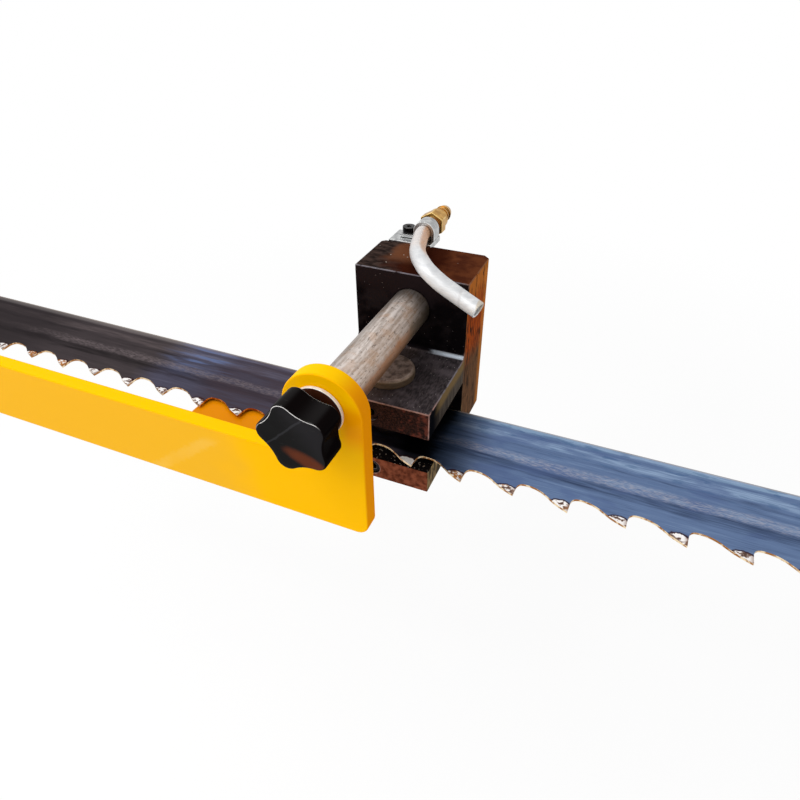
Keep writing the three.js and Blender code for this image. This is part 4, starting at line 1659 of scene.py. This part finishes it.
@dataclass
class SawBand(SubAssembly):
    """The toothed band, with its tips bent up and down in turn.

    Attributes:
        left: X of its left end.
        right: X of its right end.
        back: Y of its back edge.
        bottom: Z of its underside.
        thickness: Its thickness.
        last_step: How far past the last tip the edge is back at the gullets' line.
        tooth_set: How far a tip is bent.
        set_depth: The share of the gullets' depth over which a tooth is bent.
        set_start: The share of the pitch on a tip's left that is bent with it.
    """

    left: float = -340.0
    right: float = 220.0
    back: float = -37.0
    bottom: float = -29.55
    thickness: float = 1.1
    last_step: float = 0.4
    tooth_set: float = 0.45
    set_depth: float = 0.62
    set_start: float = 0.72

    # One tooth from its tip to the next: shares of the pitch and of the gullet's depth
    TOOTH_SHARES = (
        (0.0, 0.0), (0.004, 0.3), (0.01, 0.62), (0.022, 0.75), (0.04, 0.85), (0.065, 0.92),
        (0.09, 0.96), (0.13, 0.99), (0.17, 1.0), (0.22, 1.0), (0.28, 0.985), (0.33, 0.96),
        (0.38, 0.925), (0.44, 0.86), (0.5, 0.78), (0.56, 0.67), (0.62, 0.555), (0.67, 0.455),
        (0.72, 0.36), (0.79, 0.26), (0.86, 0.17), (0.93, 0.085),
    )
    ROW_SHARES = (0.0, 0.02, 0.05, 0.09, 0.14, 0.2, 0.35, 0.6, 0.85, 1.0)

    def _front_line(self) -> list[Flat]:
        """Walks along the toothed edge.

        Returns:
            X and Y of each point.
        """
        gullet = TIP_LINE + GULLET_DEPTH
        teeth = int((self.right - FIRST_TIP) // TOOTH_PITCH)
        line = [(self.left, gullet)]
        for tooth in range(teeth):
            for along, depth in self.TOOTH_SHARES:
                line.append((FIRST_TIP + (tooth + along) * TOOTH_PITCH, TIP_LINE + depth * GULLET_DEPTH))
        last = FIRST_TIP + teeth * TOOTH_PITCH
        return line + [(last, TIP_LINE), (last + self.last_step, gullet), (self.right, gullet)]

    def _bend(self, x: float, y: float) -> float:
        """Gives how far a point is lifted by its tooth's set.

        Args:
            x: The point's X.
            y: The point's Y.

        Returns:
            The lift in millimetres.
        """
        share = max(0.0, 1 - (y - TIP_LINE) / (GULLET_DEPTH * self.set_depth))
        tooth = math.floor((x - FIRST_TIP) / TOOTH_PITCH + self.set_start)
        return (1 if tooth % 2 == 0 else -1) * share * self.tooth_set

    def pieces(self) -> list[Piece]:
        """Makes the band.

        Returns:
            The band, in a list.
        """
        mesh = bmesh.new()
        line = self._front_line()
        sheets: list[list[Row]] = []
        for z in (self.bottom, self.bottom + self.thickness):
            sheet = []
            for share in self.ROW_SHARES:
                points = [(x, y + (self.back - y) * share) for x, y in line]
                sheet.append([mesh.verts.new((x, y, z + self._bend(x, y))) for x, y in points])
            sheets.append(sheet)
        for sheet in sheets:
            for first, second in zip(sheet, sheet[1:]):
                bridge(mesh, first, second, closed=False)
        lower, upper = sheets
        for end in (0, -1):
            bridge(mesh, lower[end], upper[end], closed=False)
            bridge(mesh, [row[end] for row in lower], [row[end] for row in upper], closed=False)
        to_metres(mesh)
        return [solid(mesh, "toothed_band", "saw_band", Body.BAND, BAND_FINISH)]


@dataclass
class DripLine(SubAssembly):
    """The drip tube with its nut and hose barb, and what holds it on the block.

    Attributes:
        straight_x: X of the tube's straight part.
        height: Z of the tube's straight part.
        inlet: Y of the tube's inlet end.
        side_reach: How far its open end lies to the right.
        forward: Y of its open end.
        rise: How far it rises over the straight part.
        outer: The tube's radius.
        wall: The tube's wall.
        lip: The rounding of its ends.
        sides: The number of faces around it.
        steps: The number of steps between two points of its route.
        edge: The rounding of the nut's and the bracket's edges.
        barb_edge: The rounding of the barb's edges.
        clip_edge: The rounding of the clip's and the screws' edges.
    """

    straight_x: float = -8.5
    height: float = 50.0
    inlet: float = 24.0
    side_reach: float = 48.8
    forward: float = -54.0
    rise: float = 6.0
    outer: float = 4.0
    wall: float = 1.0
    lip: float = 0.25
    sides: int = 40
    steps: int = 12
    edge: float = 0.35
    barb_edge: float = 0.15
    clip_edge: float = 0.25

    # The bend's points: shares of the reach to the right, the way to the front and the rise
    ROUTE_SHARES = (
        (0, -0.04, 0),
        (0.043, 0.13, 0.02),
        (0.127, 0.37, 0.25),
        (0.223, 0.576, 0.64),
        (0.33, 0.756, 0.93),
        (0.452, 0.884, 0.8),
        (0.593, 0.927, 0.22),
        (0.793, 0.957, -0.49),
        (1, 1, -1.11),
    )

    def _tube(self) -> Piece:
        """Sweeps the tube along its bend.

        Returns:
            The tube.
        """
        start = Vector((self.straight_x, 0, self.height))
        points = [start + Vector((0, y, 0)) for y in (self.inlet, self.inlet / 2)]
        for side, along, up in self.ROUTE_SHARES:
            points.append(start + Vector((side * self.side_reach, along * self.forward, up * self.rise)))
        route = smooth_route(points, self.steps)
        mesh = swept_mesh(route, self.outer, self.outer - self.wall, self.sides, self.lip)
        return solid(mesh, "bent_tube", "drip_tube", Body.TUBE, TUBE_FINISH)

    def pieces(self) -> list[Piece]:
        """Makes the tube, its fittings and its bracket.

        Returns:
            The pieces.
        """
        screws = ("bracket_screw_left", "bracket_screw_right", "clip_screw")
        return [
            self._tube(),
            dressed("tube_nut", Body.TUBE, BRASS_FINISH, self.edge),
            dressed("hose_barb", Body.TUBE, BRASS_FINISH, self.barb_edge),
            dressed("tube_bracket", Body.BLOCK, ZINC_FINISH, self.edge),
            dressed("tube_clip", Body.BLOCK, ZINC_FINISH, self.clip_edge),
            *(dressed(screw, Body.BLOCK, SCREW_FINISH, self.clip_edge) for screw in screws),
        ]


@dataclass
class Studio:
    """The photograph's camera, a white floor and soft lamps.

    Attributes:
        camera_place: The camera's place, in millimetres.
        forward: Where the camera looks.
        right: The picture's right.
        down: The picture's bottom.
        focal: The focal length in pixels of the picture's width.
        picture: The picture's width in pixels.
        sensor: The sensor's width in millimetres.
        nearest: The nearest distance that the camera sees, in metres.
        floor_height: Z of the floor, in millimetres.
        floor_size: The floor's width in metres.
    """

    camera_place: Point = (103.66, -289.39, 176.03)
    forward: Point = (-0.31575, 0.73328, -0.60216)
    right: Point = (0.92001, 0.39186, -0.00523)
    down: Point = (0.23213, -0.55564, -0.79836)
    focal: float = 617.18
    picture: float = 800.0
    sensor: float = 36.0
    nearest: float = 0.005
    floor_height: float = -262.0
    floor_size: float = 12.0

    def _camera(self) -> None:
        """Adds the camera and makes it the scene's."""
        lens = bpy.data.cameras.new("photo_camera")
        lens.sensor_width = self.sensor
        lens.lens = self.focal / self.picture * self.sensor
        lens.clip_start = self.nearest
        camera = linked("photo_camera", lens)
        turn = Matrix((self.right, -Vector(self.down), -Vector(self.forward))).transposed().to_4x4()
        camera.matrix_world = Matrix.Translation(Vector(self.camera_place) * MM) @ turn
        bpy.context.scene.camera = camera

    @staticmethod
    def _seen_directly(graph: Graph) -> Value:
        """Finds the rays that show the background itself, also in metal and glass.

        Args:
            graph: The graph of the world or the floor.

        Returns:
            1 for such a ray and 0 for others.
        """
        camera = graph.add("ShaderNodeLightPath", output="Is Camera Ray")
        return camera.larger(camera.also("Is Glossy Ray")).larger(camera.also("Is Transmission Ray"))

    def _world(self) -> None:
        """Gives the world a white background and a softer grey light."""
        world = bpy.data.worlds.new("white_world")
        bpy.context.scene.world = world
        graph = Graph(world)
        across, _, _ = graph.parts(graph.add("ShaderNodeTexCoord"))
        sky = 0.85 - 0.4 * across.between(0.1, 0.9)
        strength = sky.larger(self._seen_directly(graph))
        light = graph.add("ShaderNodeBackground", None, {"Color": WHITE, "Strength": strength})
        graph.add("ShaderNodeOutputWorld", None, {"Surface": light})

    def _floor(self) -> None:
        """Lays the white floor, which keeps a faint shadow."""
        mesh = bmesh.new()
        bmesh.ops.create_grid(mesh, x_segments=1, y_segments=1, size=self.floor_size / 2)
        mesh.transform(Matrix.Translation((0, 0, self.floor_height * MM)))
        data = bpy.data.meshes.new("white_floor")
        mesh.to_mesh(data)
        mesh.free()
        material = bpy.data.materials.new("white_floor")
        graph = Graph(material)
        matt = graph.add("ShaderNodeBsdfDiffuse", None, {"Color": WHITE})
        glow = graph.add("ShaderNodeEmission", None, {"Color": WHITE, "Strength": 1.0})
        x, y, _ = graph.place
        far = ((x * x + y * y) ** 0.5).between(350, 900)
        share = self._seen_directly(graph) * (0.82 + 0.18 * far)
        mixed = graph.add("ShaderNodeMixShader", None, {0: share, 1: matt, 2: glow})
        graph.add("ShaderNodeOutputMaterial", None, {"Surface": mixed})
        data.materials.append(material)
        linked("white_floor", data)

    @staticmethod
    def _lamp(name: str, place: Point, target: Point, size: float, watts: float) -> None:
        """Adds a square soft lamp.

        Args:
            name: The lamp's name.
            place: Where it hangs, in millimetres.
            target: The point that it faces, in millimetres.
            size: Its width in metres.
            watts: Its power.
        """
        light = bpy.data.lights.new(name, "AREA")
        light.size = size
        light.energy = watts
        aim = (Vector(target) - Vector(place)).to_track_quat("-Z", "Y").to_matrix().to_4x4()
        linked(name, light).matrix_world = Matrix.Translation(Vector(place) * MM) @ aim

    def build(self) -> None:
        """Sets up the camera, the world, the floor and the lamps."""
        bpy.context.scene.view_settings.view_transform = "Standard"
        self._camera()
        self._world()
        self._floor()
        self._lamp("key_lamp", (-420, -300, 560), (0, -70, 0), 0.8, 2.2)
        self._lamp("glint_lamp", (-190, -420, 570), (0, -60, 0), 0.1, 0.5)
        self._lamp("rim_lamp", (-330, -600, 470), (0, -140, 20), 0.1, 0.5)
        LOG.info("the studio is set up")


def main() -> None:
    """Loads the frame, dresses it and sets up the studio."""
    logging.basicConfig(level=logging.INFO, format="%(name)s: %(message)s")
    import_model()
    Studio().build()
    for group in (GuideBlock(), BandGuides(), GuardArm(), ClampKnob(), SawBand(), DripLine()):
        group.build()


if __name__ == "__main__":
    main()
